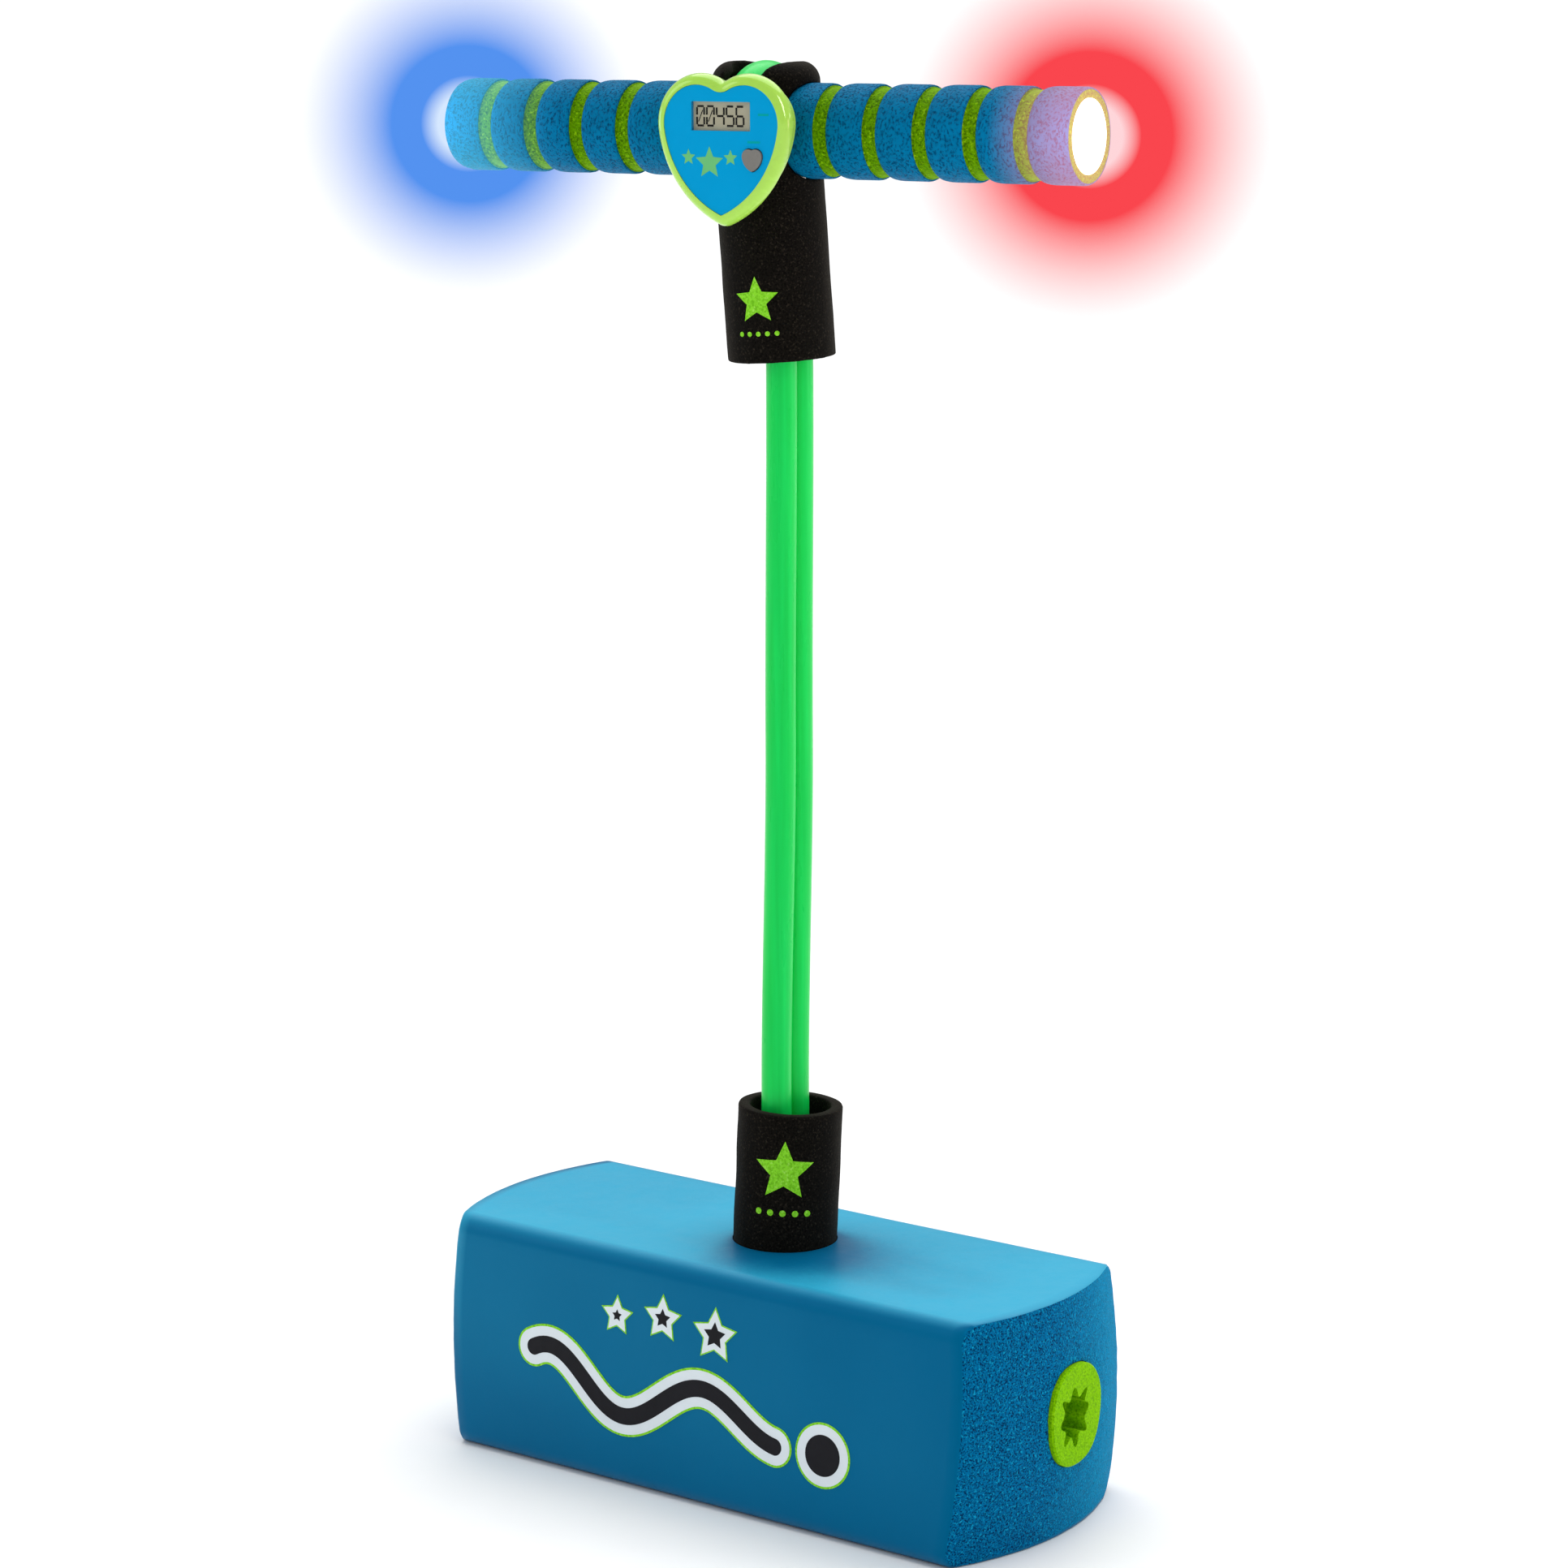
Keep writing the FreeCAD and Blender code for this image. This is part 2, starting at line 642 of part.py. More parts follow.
def grip(side, frame):
    """A side's grip: a pale foam core and the coloured skin that the grooves cut through."""
    length = "handle_length / 2 - grip_start"
    core = cylinder(f"{side}_core", "grip_core_diameter / 2", "grip_start", length, "x")
    hole = cylinder(f"{side}_hole", "tube_diameter / 2 + fit_gap / 2", "0", "handle_length", "x")
    subpart(cut(f"{side}_core_cut", core, hole), f"{side}_grip_core", frame)
    skin = cylinder(f"{side}_skin", "grip_diameter / 2", "grip_start", length, "x")
    inside_radius = "grip_core_diameter / 2 + fit_gap / 5"
    inside = cylinder(f"{side}_skin_hole", inside_radius, "0", "handle_length", "x")
    grooves = []
    for number in range(int(size("grooves"))):
        start = f"groove_start + {number} * groove_pitch"
        grooves.append(cylinder(f"{side}_groove_{number}", "grip_diameter", start, "groove_width", "x"))
    subpart(cut(f"{side}_rings", skin, inside, *grooves), f"{side}_grip_rings", frame)


def end_light(side, frame):
    """The light pod in one end of the tube: lens, housing, board, LED, cells and shake switch."""
    tube_end = "tube_length / 2"
    flange = cylinder(
        f"{side}_flange", "tube_diameter / 2 - fit_gap", f"{tube_end} + fit_gap",
        "(handle_length - tube_length) / 2", "x",
    )
    spigot = cylinder(f"{side}_spigot", "pod_diameter / 2", f"{tube_end} - 8", "8.2", "x")
    well = cylinder(f"{side}_well", "pod_diameter / 2 - 2", f"{tube_end} - 9", "10", "x")
    lens = fused(f"{side}_lens_solid", flange, spigot)
    subpart(cut(f"{side}_lens", lens, well), f"{side}_light_lens", frame)

    cup = cylinder(f"{side}_cup", "pod_diameter / 2", f"{tube_end} - 42", "33.8", "x")
    cavity = cylinder(f"{side}_cavity", "pod_diameter / 2 - 1.5", f"{tube_end} - 40.5", "33.8", "x")
    subpart(cut(f"{side}_housing", cup, cavity), f"{side}_light_housing", frame)

    board = cylinder(f"{side}_board", "pod_diameter / 2 - 1.7", f"{tube_end} - 13", "1.2", "x")
    wire_hole = cylinder(f"{side}_wire_hole", "0.6", f"{tube_end} - 14", "4", "x", y="7")
    subpart(cut(f"{side}_board_cut", board, wire_hole), f"{side}_light_board", frame)

    barrel = cylinder(f"{side}_led_barrel", "2.5", f"{tube_end} - 11.7", "6", "x")
    rim = cylinder(f"{side}_led_rim", "2.9", f"{tube_end} - 11.7", "1", "x")
    dome = doc.addObject("Part::Sphere", f"{side}_led_dome")
    link(dome, Radius="2.5", Placement_Base_x=f"{tube_end} - 5.7")
    subpart(fused(f"{side}_led_solid", barrel, rim, dome), f"{side}_led", frame)

    cells = []
    for number in range(3):
        start = f"{tube_end} - 31 + {number} * (coin_cell_thickness + fit_gap)"
        cell_size = ("coin_cell_diameter / 2", start, "coin_cell_thickness")
        cells.append(cylinder(f"{side}_cell_{number}", *cell_size, "x", y="0 - 3"))
    subpart(grouped(f"{side}_cell_stack", *cells), f"{side}_light_cells", frame)

    can = cylinder(f"{side}_switch_can", "2", f"{tube_end} - 27", "12", "x", y="6.5")
    pin = cylinder(f"{side}_switch_pin", "0.4", f"{tube_end} - 15.2", "2", "x", y="6.5")
    subpart(fused(f"{side}_switch", can, pin), f"{side}_shake_switch", frame)


# ---- jump counter -----------------------------------------------------------------------------


def add_heart(sketch, inset="0", scale="1"):
    """A heart outline of six tangent arcs, made smaller by an inset, then scaled."""
    names = ("lobe", "tip", "side")
    radius = {name: f"(heart_{name}_radius - ({inset})) * {scale}" for name in names}
    radius["cleft"] = f"(heart_cleft_radius + ({inset})) * {scale}"
    lobe_side = value_of(f"heart_lobe_offset * {scale}")
    lobe = FreeCAD.Vector(lobe_side, value_of(f"heart_lobe_height * {scale}"), 0)
    tip = FreeCAD.Vector(0, value_of(f"heart_tip_height * {scale}"), 0)
    lengths = {name: value_of(text) for name, text in radius.items()}
    cleft_rise = math.sqrt((lengths["lobe"] + lengths["cleft"]) ** 2 - lobe.x ** 2)
    cleft = FreeCAD.Vector(0, lobe.y + cleft_rise, 0)
    lobe_reach = lengths["side"] - lengths["lobe"]
    right_side = enclosing_centre(lobe, tip, lobe_reach, lengths["side"] - lengths["tip"])
    left_lobe = FreeCAD.Vector(-lobe.x, lobe.y, 0)
    left_side = FreeCAD.Vector(-right_side.x, right_side.y, 0)

    lobe_top = bearing(lobe, cleft)
    lobe_foot = bearing(right_side, lobe)
    tip_side = bearing(right_side, tip)
    turn = 2 * math.pi
    arcs = [
        add_arc(sketch, left_lobe, lengths["lobe"], math.pi - lobe_top, math.pi - lobe_foot),
        add_arc(sketch, left_side, lengths["side"], math.pi - lobe_foot, math.pi - tip_side),
        add_arc(sketch, tip, lengths["tip"], math.pi - tip_side, turn + tip_side),
        add_arc(sketch, right_side, lengths["side"], tip_side, lobe_foot),
        add_arc(sketch, lobe, lengths["lobe"], lobe_foot, lobe_top),
        add_arc(sketch, cleft, lengths["cleft"], math.pi + (math.pi - lobe_top), turn - (math.pi - lobe_top)),
    ]
    for first, second in zip(arcs, arcs[1:5]):
        sketch.addConstraint(Sketcher.Constraint("Tangent", first, 2, second, 1))
    sketch.addConstraint(Sketcher.Constraint("Tangent", arcs[4], 2, arcs[5], 2))
    sketch.addConstraint(Sketcher.Constraint("Tangent", arcs[5], 1, arcs[0], 1))
    kinds = ("lobe", "side", "tip", "side", "lobe", "cleft")
    for arc, kind in zip(arcs, kinds):
        constrain(sketch, radius[kind], "Radius", arc)
    for arc, sign in ((arcs[4], "1"), (arcs[0], "-1")):
        constrain(sketch, f"{sign} * heart_lobe_offset * {scale}", "DistanceX", -1, 1, arc, 3)
        constrain(sketch, f"heart_lobe_height * {scale}", "DistanceY", -1, 1, arc, 3)
    constrain(sketch, "0 * heart_lobe_offset", "DistanceX", -1, 1, arcs[2], 3)
    constrain(sketch, f"heart_tip_height * {scale}", "DistanceY", -1, 1, arcs[2], 3)


def add_arc(sketch, centre, radius, start, end):
    """An arc between two angles, drawn anticlockwise."""
    return sketch.addGeometry(Part.ArcOfCircle(Part.Circle(centre, Z_AXIS, radius), start, end))


def bearing(start, end):
    """The angle of the line from one point to another."""
    return math.atan2(end.y - start.y, end.x - start.x)


def enclosing_centre(first, second, first_reach, second_reach):
    """The point at the given distances from two others, to the left of the line between them."""
    along = first - second
    gap = along.Length
    along = along.normalize()
    share = (second_reach ** 2 - first_reach ** 2 + gap ** 2) / (2 * gap)
    across = math.sqrt(second_reach ** 2 - share ** 2)
    return second + along * share + FreeCAD.Vector(-along.y, along.x, 0) * across


def facing(body, name, place, side="0", up="0"):
    """A sketch that faces forwards at a distance in front of the handlebar's axis."""
    return sketch_on(body, "XZ_Plane", name, FreeCAD.Vector(value_of(side), value_of(up), value_of(place)))


def screw_places():
    """Where the three screws sit, as pairs of formulas across and up."""
    return (
        ("boss_side", "boss_height"),
        ("0 - boss_side", "boss_height"),
        ("0 * boss_side", "tip_boss_height"),
    )


def add_circles(sketch, diameter, places):
    """Equal circles at several places."""
    for across, up in places:
        add_circle(sketch, diameter, across, up)


def rounded_edges(body, base, place, radius):
    """Rounds the edges that lie at a distance in front of the handlebar's axis."""
    doc.recompute()
    edges = [
        f"Edge{number}"
        for number, edge in enumerate(base.Shape.Edges, start=1)
        if all(abs(vertex.Point.y + size(place)) < 0.001 for vertex in edge.Vertexes)
    ]
    rounding = body.newObject("PartDesign::Fillet", f"{body.Name}_{radius}")
    rounding.Base = (base, edges)
    link(rounding, Radius=radius)
    return rounding


def counter_bezel():
    """The rounded front ring of the counter, a narrower skirt behind it and three screw bosses."""
    body = new_body("counter_bezel")
    outline = facing(body, "outline", "counter_rim_place")
    add_heart(outline)
    rim = pad(body, outline, "counter_front_place - counter_rim_place")
    rim = rounded_edges(body, rim, "counter_front_place", "bezel_rounding")
    rounded_edges(body, rim, "counter_rim_place", "rim_rounding")
    skirt = facing(body, "skirt", "counter_seam_place")
    add_heart(skirt, "skirt_inset")
    pad(body, skirt, "counter_rim_place - counter_seam_place + rim_rounding")
    opening = facing(body, "opening", "counter_front_place + 1")
    add_heart(opening, "bezel_width")
    pocket(body, opening, "2 * counter_front_place", midplane=True)
    bosses = facing(body, "bosses", "counter_seam_place")
    add_circles(bosses, "boss_diameter", screw_places())
    pad(body, bosses, "counter_front_place - counter_seam_place - boss_head_room")
    pilots = facing(body, "pilots", "counter_seam_place")
    add_circles(pilots, "screw_diameter + fit_gap", screw_places())
    body.Tip = pocket(body, pilots, "pilot_depth", backwards=True)
    subpart(body, "counter_bezel", HANDLE)


def counter_face():
    """The flat front plate with a window for the display and a hole for the button."""
    body = new_body("counter_face")
    place = "counter_front_place - face_recess - face_thickness"
    outline = facing(body, "outline", place)
    add_heart(outline, "bezel_width + fit_gap")
    pad(body, outline, "face_thickness")
    window = facing(body, "window", place)
    add_rectangle(window, "window_width", "window_height", "0", "window_centre")
    pocket(body, window, "2 * face_thickness", backwards=True)
    hole = facing(body, "hole", place, "button_side", "button_drop")
    add_heart(hole, "0 - 3 * fit_gap / button_scale", "button_scale")
    body.Tip = pocket(body, hole, "2 * face_thickness", backwards=True)
    subpart(body, "counter_face", HANDLE)


def add_rectangle(sketch, width, height, side, up):
    """A rectangle whose size and centre are formulas."""
    left, right = f"{side} - ({width}) / 2", f"{side} + ({width}) / 2"
    low, high = f"{up} - ({height}) / 2", f"{up} + ({height}) / 2"
    add_polygon(sketch, [(left, low), (right, low), (right, high), (left, high)])


def plate(label, width, height, place, thickness, up, side="0"):
    """A rectangular piece inside the counter, parallel to its face."""
    body = new_body(label)
    outline = facing(body, "outline", place)
    add_rectangle(outline, width, height, side, up)
    body.Tip = pad(body, outline, thickness)
    return body


def counter_display():
    """The window, the liquid-crystal panel and the rubber strip that joins it to the board."""
    front = "counter_front_place - face_recess"
    window = plate(
        "counter_window", "window_width - 2 * fit_gap", "window_height - 2 * fit_gap",
        f"{front} - 1.1", "1", "window_centre",
    )
    subpart(window, "counter_window", HANDLE)
    panel_place = f"{front} - face_thickness - 1.7"
    panel_size = ("window_width + 3.4", "window_height + 2.6")
    panel = plate("lcd_panel", *panel_size, panel_place, "1.6", "window_centre")
    subpart(panel, "lcd_panel", HANDLE)
    strip_place = "board_place + board_thickness + fit_gap"
    strip = plate(
        "lcd_connector", "window_width", "1.8", strip_place,
        f"{panel_place} - ({strip_place}) - fit_gap", "window_centre - window_height / 2",
    )
    subpart(strip, "lcd_connector", HANDLE)


def counter_board():
    """The circuit board with its two locating holes, and the snap dome under the button."""
    body = plate("counter_board", "36", "27", "board_place", "board_thickness", "0.5")
    holes = facing(body, "holes", "board_place")
    add_circles(holes, "2.4", (("0 - 15.5", "0 - 10"), ("15.5", "11")))
    body.Tip = pocket(body, holes, "2 * board_thickness", backwards=True)
    subpart(body, "counter_board", HANDLE)
    dome = new_body("switch_dome")
    disc = facing(dome, "disc", "board_place + board_thickness + fit_gap / 2")
    add_circle(disc, "6", "button_side", "button_drop")
    dome.Tip = pad(dome, disc, "0.25")
    subpart(dome, "switch_dome", HANDLE)


def counter_button():
    """The heart-shaped reset button, which slides straight in through the face."""
    body = new_body("counter_button")
    rest = "counter_front_place - face_recess + button_stand"
    outline = facing(body, "outline", f"{rest} - button_length", "button_side", "button_drop")
    add_heart(outline, scale="button_scale")
    body.Tip = pad(body, outline, "button_length")
    subpart(body, "counter_button", HANDLE)


def counter_back():
    """The rear shell: a channel for the cord, two snap clips for the tube and the cell's doorway."""
    thickness = "counter_seam_place - counter_back_place - fit_gap"
    shell = heart_plate("back_plate", "counter_back_place", thickness)
    half = "channel_width / 2"
    trough = block(
        "trough", (f"0 - {half} - channel_wall", f"{half} + channel_wall"),
        ("0 - channel_depth - channel_wall", "0 - counter_back_place - 1"),
        ("channel_foot - channel_wall", "channel_top"),
    )
    adds = [shell, trough]
    cuts = [
        block(
            "channel", (f"0 - {half}", half),
            ("0 - channel_depth", "0"), ("channel_foot", "2 * channel_top"),
        ),
        cylinder("tube_room", "tube_diameter / 2 + fit_gap", "0 - tube_diameter", "2 * tube_diameter", "x"),
    ]
    for name, low, high in (
        ("right", "clip_side", "clip_side + clip_width"),
        ("left", "0 - clip_side - clip_width", "0 - clip_side"),
    ):
        adds.append(cylinder(f"{name}_clip", "tube_diameter / 2 + clip_wall", low, "clip_width", "x"))
        adds.append(block(f"{name}_rib", (low, high), ("0 - counter_back_place - 1", "0 - 15"), ("0", "6")))
    cuts.append(block("clip_mouth", ("0 - 20", "20"), ("4", "20"), ("0 - 20", "20")))
    cell = {"x": "counter_cell_side", "z": "counter_cell_height"}
    seat_radius = "door_diameter / 2 + 2 * fit_gap"
    cuts.append(cylinder("door_seat", seat_radius, "0 - counter_back_place - 2.2", "2.3", "y", **cell))
    cell_radius = "coin_cell_diameter / 2 + 3 * fit_gap"
    cuts.append(cylinder("cell_room", cell_radius, "0 - counter_front_place", "13", "y", **cell))
    for number, (across, up) in enumerate(screw_places()):
        spot = {"x": across, "z": up}
        cuts.append(cylinder(f"back_hole_{number}", "screw_diameter / 2 + 0.2", "0 - 40", "30", "y", **spot))
        head_seat = "0 - counter_back_place - 1.6"
        cuts.append(cylinder(f"back_seat_{number}", "screw_head / 2 + 0.2", head_seat, "10", "y", **spot))
    subpart(cut("back_cut", fused("back_solid", *adds), *cuts), "counter_back", HANDLE)


def heart_plate(name, place, thickness):
    """A flat heart with the rear shell's outline."""
    body = new_body(name)
    outline = facing(body, "outline", place)
    add_heart(outline, "back_inset")
    body.Tip = pad(body, outline, thickness)
    return body


def counter_power():
    """The coin cell with its contacts, its screw-in door, and the sensor that feels each jump."""
    cell = {"x": "counter_cell_side", "z": "counter_cell_height"}
    back = "0 - counter_seam_place - 0.4"
    button_cell = cylinder(
        "counter_cell_body", "coin_cell_diameter / 2", f"{back} - counter_cell_thickness",
        "counter_cell_thickness - 0.5", "y", **cell,
    )
    cap = cylinder("counter_cell_cap", "coin_cell_diameter / 2 - 1", f"{back} - 0.6", "0.6", "y", **cell)
    subpart(fused("counter_cell_solid", button_cell, cap), "counter_cell", HANDLE)

    door = cylinder("door_disc", "door_diameter / 2", "0 - counter_back_place - 2", "2", "y", **cell)
    slot = block(
        "door_slot", ("counter_cell_side - 4", "counter_cell_side + 4"),
        ("0 - counter_back_place - 1", "0 - counter_back_place + 1"),
        ("counter_cell_height - 0.8", "counter_cell_height + 0.8"),
    )
    subpart(cut("door_cut", door, slot), "battery_door", HANDLE)

    rear_tab = block(
        "rear_contact", ("counter_cell_side - 2", "counter_cell_side + 2"),
        ("0 - counter_seam_place - 0.3", "0 - counter_seam_place"),
        ("counter_cell_height - 5", "counter_cell_height + 5"),
    )
    cell_edge = "counter_cell_side - coin_cell_diameter / 2"
    side_tab = block(
        "side_contact", (f"{cell_edge} - 0.5", f"{cell_edge} - fit_gap"),
        ("0 - board_place + 0.2", "0 - counter_seam_place - 0.1"),
        ("counter_cell_height - 2", "counter_cell_height + 3"),
    )
    subpart(grouped("contact_pair", rear_tab, side_tab), "counter_contacts", HANDLE)

    can = cylinder("sensor_can", "1.5", "10.5", "8", "x", y="0 - counter_seam_place - 1.9", z="8")
    lead = cylinder("sensor_lead", "0.3", "8.9", "1.7", "x", y="0 - counter_seam_place - 1.9", z="8")
    subpart(fused("sensor", can, lead), "jump_sensor", HANDLE)


def counter_screws():
    """The three screws that hold the rear shell to the bezel's bosses."""
    screws = []
    for number, (across, up) in enumerate(screw_places()):
        spot = {"x": across, "z": up}
        head = cylinder(
            f"screw_head_{number}", "screw_head / 2", "0 - counter_back_place - 1.5", "1.4", "y", **spot
        )
        shank = cylinder(
            f"screw_shank_{number}", "screw_diameter / 2", "0 - counter_back_place - 9", "8", "y", **spot
        )
        screws.append(fused(f"screw_{number}", head, shank))
    subpart(grouped("screw_set", *screws), "counter_screws", HANDLE)


# ---- the whole object -------------------------------------------------------------------------


def build():
    """Make every piece, from the floor upwards."""
    foam_base()
    core_tube()
    anchor_rod()
    squeaker()
    bungee_loop()
    lower_sleeve()
    upper_sleeve()
    handle_tube()
    for side, frame in HANDLE_SIDES.items():
        grip(side, frame)
        end_light(side, frame)
    counter_back()
    counter_bezel()
    counter_face()
    counter_display()
    counter_board()
    counter_button()
    counter_power()
    counter_screws()
    doc.recompute()


def check():
    """Stop before writing anything if an object failed or a shape isn't sound."""
    for item in doc.Objects:
        if "Invalid" in item.State or "Error" in item.State:
            raise SystemExit(f"{item.Label} failed: {item.State}")
    for item in SUBPARTS:
        if item.Shape.isNull() or not item.Shape.isValid() or not item.Shape.Solids:
            raise SystemExit(f"{item.Label} has no sound shape")


build()
check()
os.makedirs("parts", exist_ok=True)
for item in SUBPARTS:
    item.Shape.exportStep(f"parts/{item.Label}.step")
    print(f"{item.Label}: {len(item.Shape.Solids)} solids, {item.Shape.Volume / 1000:.2f} cm3")
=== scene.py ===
import json
from math import atan, atan2, cos, degrees, exp, pi, radians, sin, sqrt, tan

import bmesh
import bpy
from mathutils import Matrix, Vector, noise


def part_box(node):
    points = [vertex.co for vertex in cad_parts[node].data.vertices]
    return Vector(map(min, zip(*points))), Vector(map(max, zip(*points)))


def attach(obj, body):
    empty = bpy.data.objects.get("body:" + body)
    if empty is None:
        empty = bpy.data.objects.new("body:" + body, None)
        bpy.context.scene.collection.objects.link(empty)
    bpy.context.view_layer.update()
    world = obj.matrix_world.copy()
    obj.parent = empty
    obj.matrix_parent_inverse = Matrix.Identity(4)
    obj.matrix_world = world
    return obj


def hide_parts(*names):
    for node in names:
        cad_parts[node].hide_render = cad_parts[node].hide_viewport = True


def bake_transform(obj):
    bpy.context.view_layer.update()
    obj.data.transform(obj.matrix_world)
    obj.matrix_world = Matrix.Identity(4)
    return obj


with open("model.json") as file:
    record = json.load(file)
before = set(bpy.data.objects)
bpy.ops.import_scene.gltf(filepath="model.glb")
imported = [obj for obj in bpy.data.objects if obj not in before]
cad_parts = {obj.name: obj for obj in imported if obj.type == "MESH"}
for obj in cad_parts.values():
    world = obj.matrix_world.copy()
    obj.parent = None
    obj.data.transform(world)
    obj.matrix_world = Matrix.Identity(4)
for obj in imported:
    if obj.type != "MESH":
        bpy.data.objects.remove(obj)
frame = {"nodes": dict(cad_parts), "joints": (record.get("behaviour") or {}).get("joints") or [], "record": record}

# The looks of the foam pogo jumper. Everything is in metres in the CAD frame: X runs along the base
# and the handlebar, Y from front to back, Z up. Small sizes are written as millimetres times MM.

MM = 0.001
SCENE = bpy.context.scene
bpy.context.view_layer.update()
FULL_TURN = 2 * pi

# ---- places taken from the frame ----


def middle(node):
    """The middle of a CAD node's box."""
    low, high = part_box(node)
    return (low + high) / 2


def joint(name):
    """A joint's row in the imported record."""
    return next(row for row in frame["joints"] if row["name"] == name)


BASE_LOW, BASE_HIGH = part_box("foam_base")
# The block's corners before they were rounded reach a little beyond its box.
BASE_HALF_LENGTH = BASE_HIGH.x + 0.5 * MM
BASE_HALF_WIDTH = BASE_HIGH.y + 1.25 * MM
BASE_HEIGHT = BASE_HIGH.z
HANDLE_CENTRE = middle("handle_tube")
PRESS = Vector(joint("button_press")["axis"])
HANDLE_TURN = atan2(-PRESS.x, PRESS.y)
HANDLE = Matrix.Translation(HANDLE_CENTRE) @ Matrix.Rotation(HANDLE_TURN, 4, "Z")

# Everything soft leans a little the same way, as seen from above.
LEAN_HEADING = radians(36.87)
LEAN = Vector((cos(LEAN_HEADING), sin(LEAN_HEADING), 0))
UP = Vector((0, 0, 1))

# ---- mesh helpers ----


def smooth_step(share):
    """0 before 0, 1 after 1, and eased between."""
    share = min(max(share, 0), 1)
    return share * share * (3 - 2 * share)


def wobble(point, size, seed=0):
    """Smooth noise from -1 to 1 whose waves are about `size` long."""
    return noise.noise(Vector(point) / size + Vector((seed * 7.3, seed * 3.1, seed * 1.7)))


def add_object(name, data):
    """Puts a mesh, a light or a camera in the scene."""
    item = bpy.data.objects.new(name, data)
    SCENE.collection.objects.link(item)
    return item


def soften(item, angle=40):
    """Smooth shading, with edges sharper than an angle kept crisp."""
    item.data.shade_smooth()
    item.data.set_sharp_from_angle(angle=radians(angle))


def add_mesh(name, points, faces):
    """A closed mesh with its faces turned outwards."""
    mesh = bpy.data.meshes.new(name)
    mesh.from_pydata([tuple(point) for point in points], [], faces)
    work = bmesh.new()
    work.from_mesh(mesh)
    bmesh.ops.recalc_face_normals(work, faces=work.faces)
    work.to_mesh(mesh)
    work.free()
    item = add_object(name, mesh)
    soften(item)
    return item


def loft(name, rings, closed_path=False):
    """A skin through rings of points, capped at both ends unless the path closes on itself."""
    count = len(rings[0])
    faces = []
    for span in range(len(rings) if closed_path else len(rings) - 1):
        here = span * count
        there = (span + 1) % len(rings) * count
        for step in range(count):
            following = (step + 1) % count
            faces.append((here + step, here + following, there + following, there + step))
    if not closed_path:
        faces.append(tuple(range(count)))
        faces.append(tuple(range((len(rings) - 1) * count, len(rings) * count)))
    return add_mesh(name, [point for ring in rings for point in ring], faces)


def turns(count):
    """Evenly spaced angles round a full turn."""
    return [FULL_TURN * step / count for step in range(count)]


def revolve(name, profile, place, steps=96, roughness=0.0):
    """A closed profile of (distance along X, radius) points turned about X, then placed."""
    rings = []
    for angle in turns(steps):
        ring = []
        for along, radius in profile:
            out = Vector((0, cos(angle), sin(angle)))
            point = Vector((along, 0, 0)) + out * radius
            ring.append(place @ (point + out * roughness * wobble(point, 5 * MM)))
        rings.append(ring)
    return loft(name, rings, closed_path=True)


def prism(name, outline, low, high, place):
    """An outline of (x, z) points drawn out along Y between two distances, then placed."""
    rings = [[place @ Vector((x, y, z)) for x, z in outline] for y in (low, high)]
    return loft(name, rings)


def box_outline(left, right, bottom, top):
    """An oblong's four corners."""
    return [(left, bottom), (right, bottom), (right, top), (left, top)]


def arc(centre_x, centre_z, radius, start, end, steps=12):
    """Points along an arc, in degrees anticlockwise from +x."""
    points = []
    for step in range(steps + 1):
        angle = radians(start + (end - start) * step / steps)
        points.append((centre_x + radius * cos(angle), centre_z + radius * sin(angle)))
    return points


def circle(radius, count=60, centre_x=0, centre_z=0):
    """Evenly spaced points on a circle."""
    return arc(centre_x, centre_z, radius, 0, 360 - 360 / count, count - 1)


def from_work_mesh(name, work):
    """An object made from an editing mesh, which is used up."""
    mesh = bpy.data.meshes.new(name)
    work.to_mesh(mesh)
    work.free()
    return add_object(name, mesh)


def bake_modifiers(item):
    """The mesh with its modifiers made real."""
    graph = bpy.context.evaluated_depsgraph_get()
    mesh = bpy.data.meshes.new_from_object(item.evaluated_get(graph))
    item.modifiers.clear()
    item.data = mesh


def carve(item, *tools):
    """Cuts closed tools out of a mesh and removes them."""
    for tool in tools:
        step = item.modifiers.new("carve", "BOOLEAN")
        step.operation = "DIFFERENCE"
        step.solver = "EXACT"
        step.object = tool
        bpy.context.view_layer.update()
        bake_modifiers(item)
        bpy.data.objects.remove(tool)


def foam_soften(item, cell, passes):
    """Rounds every edge as cut foam's are, by remeshing and smoothing."""
    remesh = item.modifiers.new("remesh", "REMESH")
    remesh.mode = "VOXEL"
    remesh.voxel_size = cell
    relax = item.modifiers.new("relax", "SMOOTH")
    relax.factor = 0.5
    relax.iterations = passes
    bpy.context.view_layer.update()
    bake_modifiers(item)
    item.data.shade_smooth()


# ---- materials ----

GRIP_END = 137 * MM
LEFT_LENS = HANDLE @ Vector((-GRIP_END, 0, 0))
RIGHT_LENS = HANDLE @ Vector((GRIP_END, 0, 0))
LEFT_GLOW = (0.16, 0.78, 1.0, 1)
RIGHT_GLOW = (1.0, 0.26, 0.32, 1)


def screen(red, green, blue):
    """A colour in 0-255 screen values as the linear values that shaders use."""
    linear = []
    for value in (red, green, blue):
        value /= 255
        linear.append(value / 12.92 if value <= 0.04045 else ((value + 0.055) / 1.055) ** 2.4)
    return (*linear, 1.0)


def darker(colour, share):
    """A colour brought down to a share of its strength."""
    return (*(share * part for part in colour[:3]), 1.0)


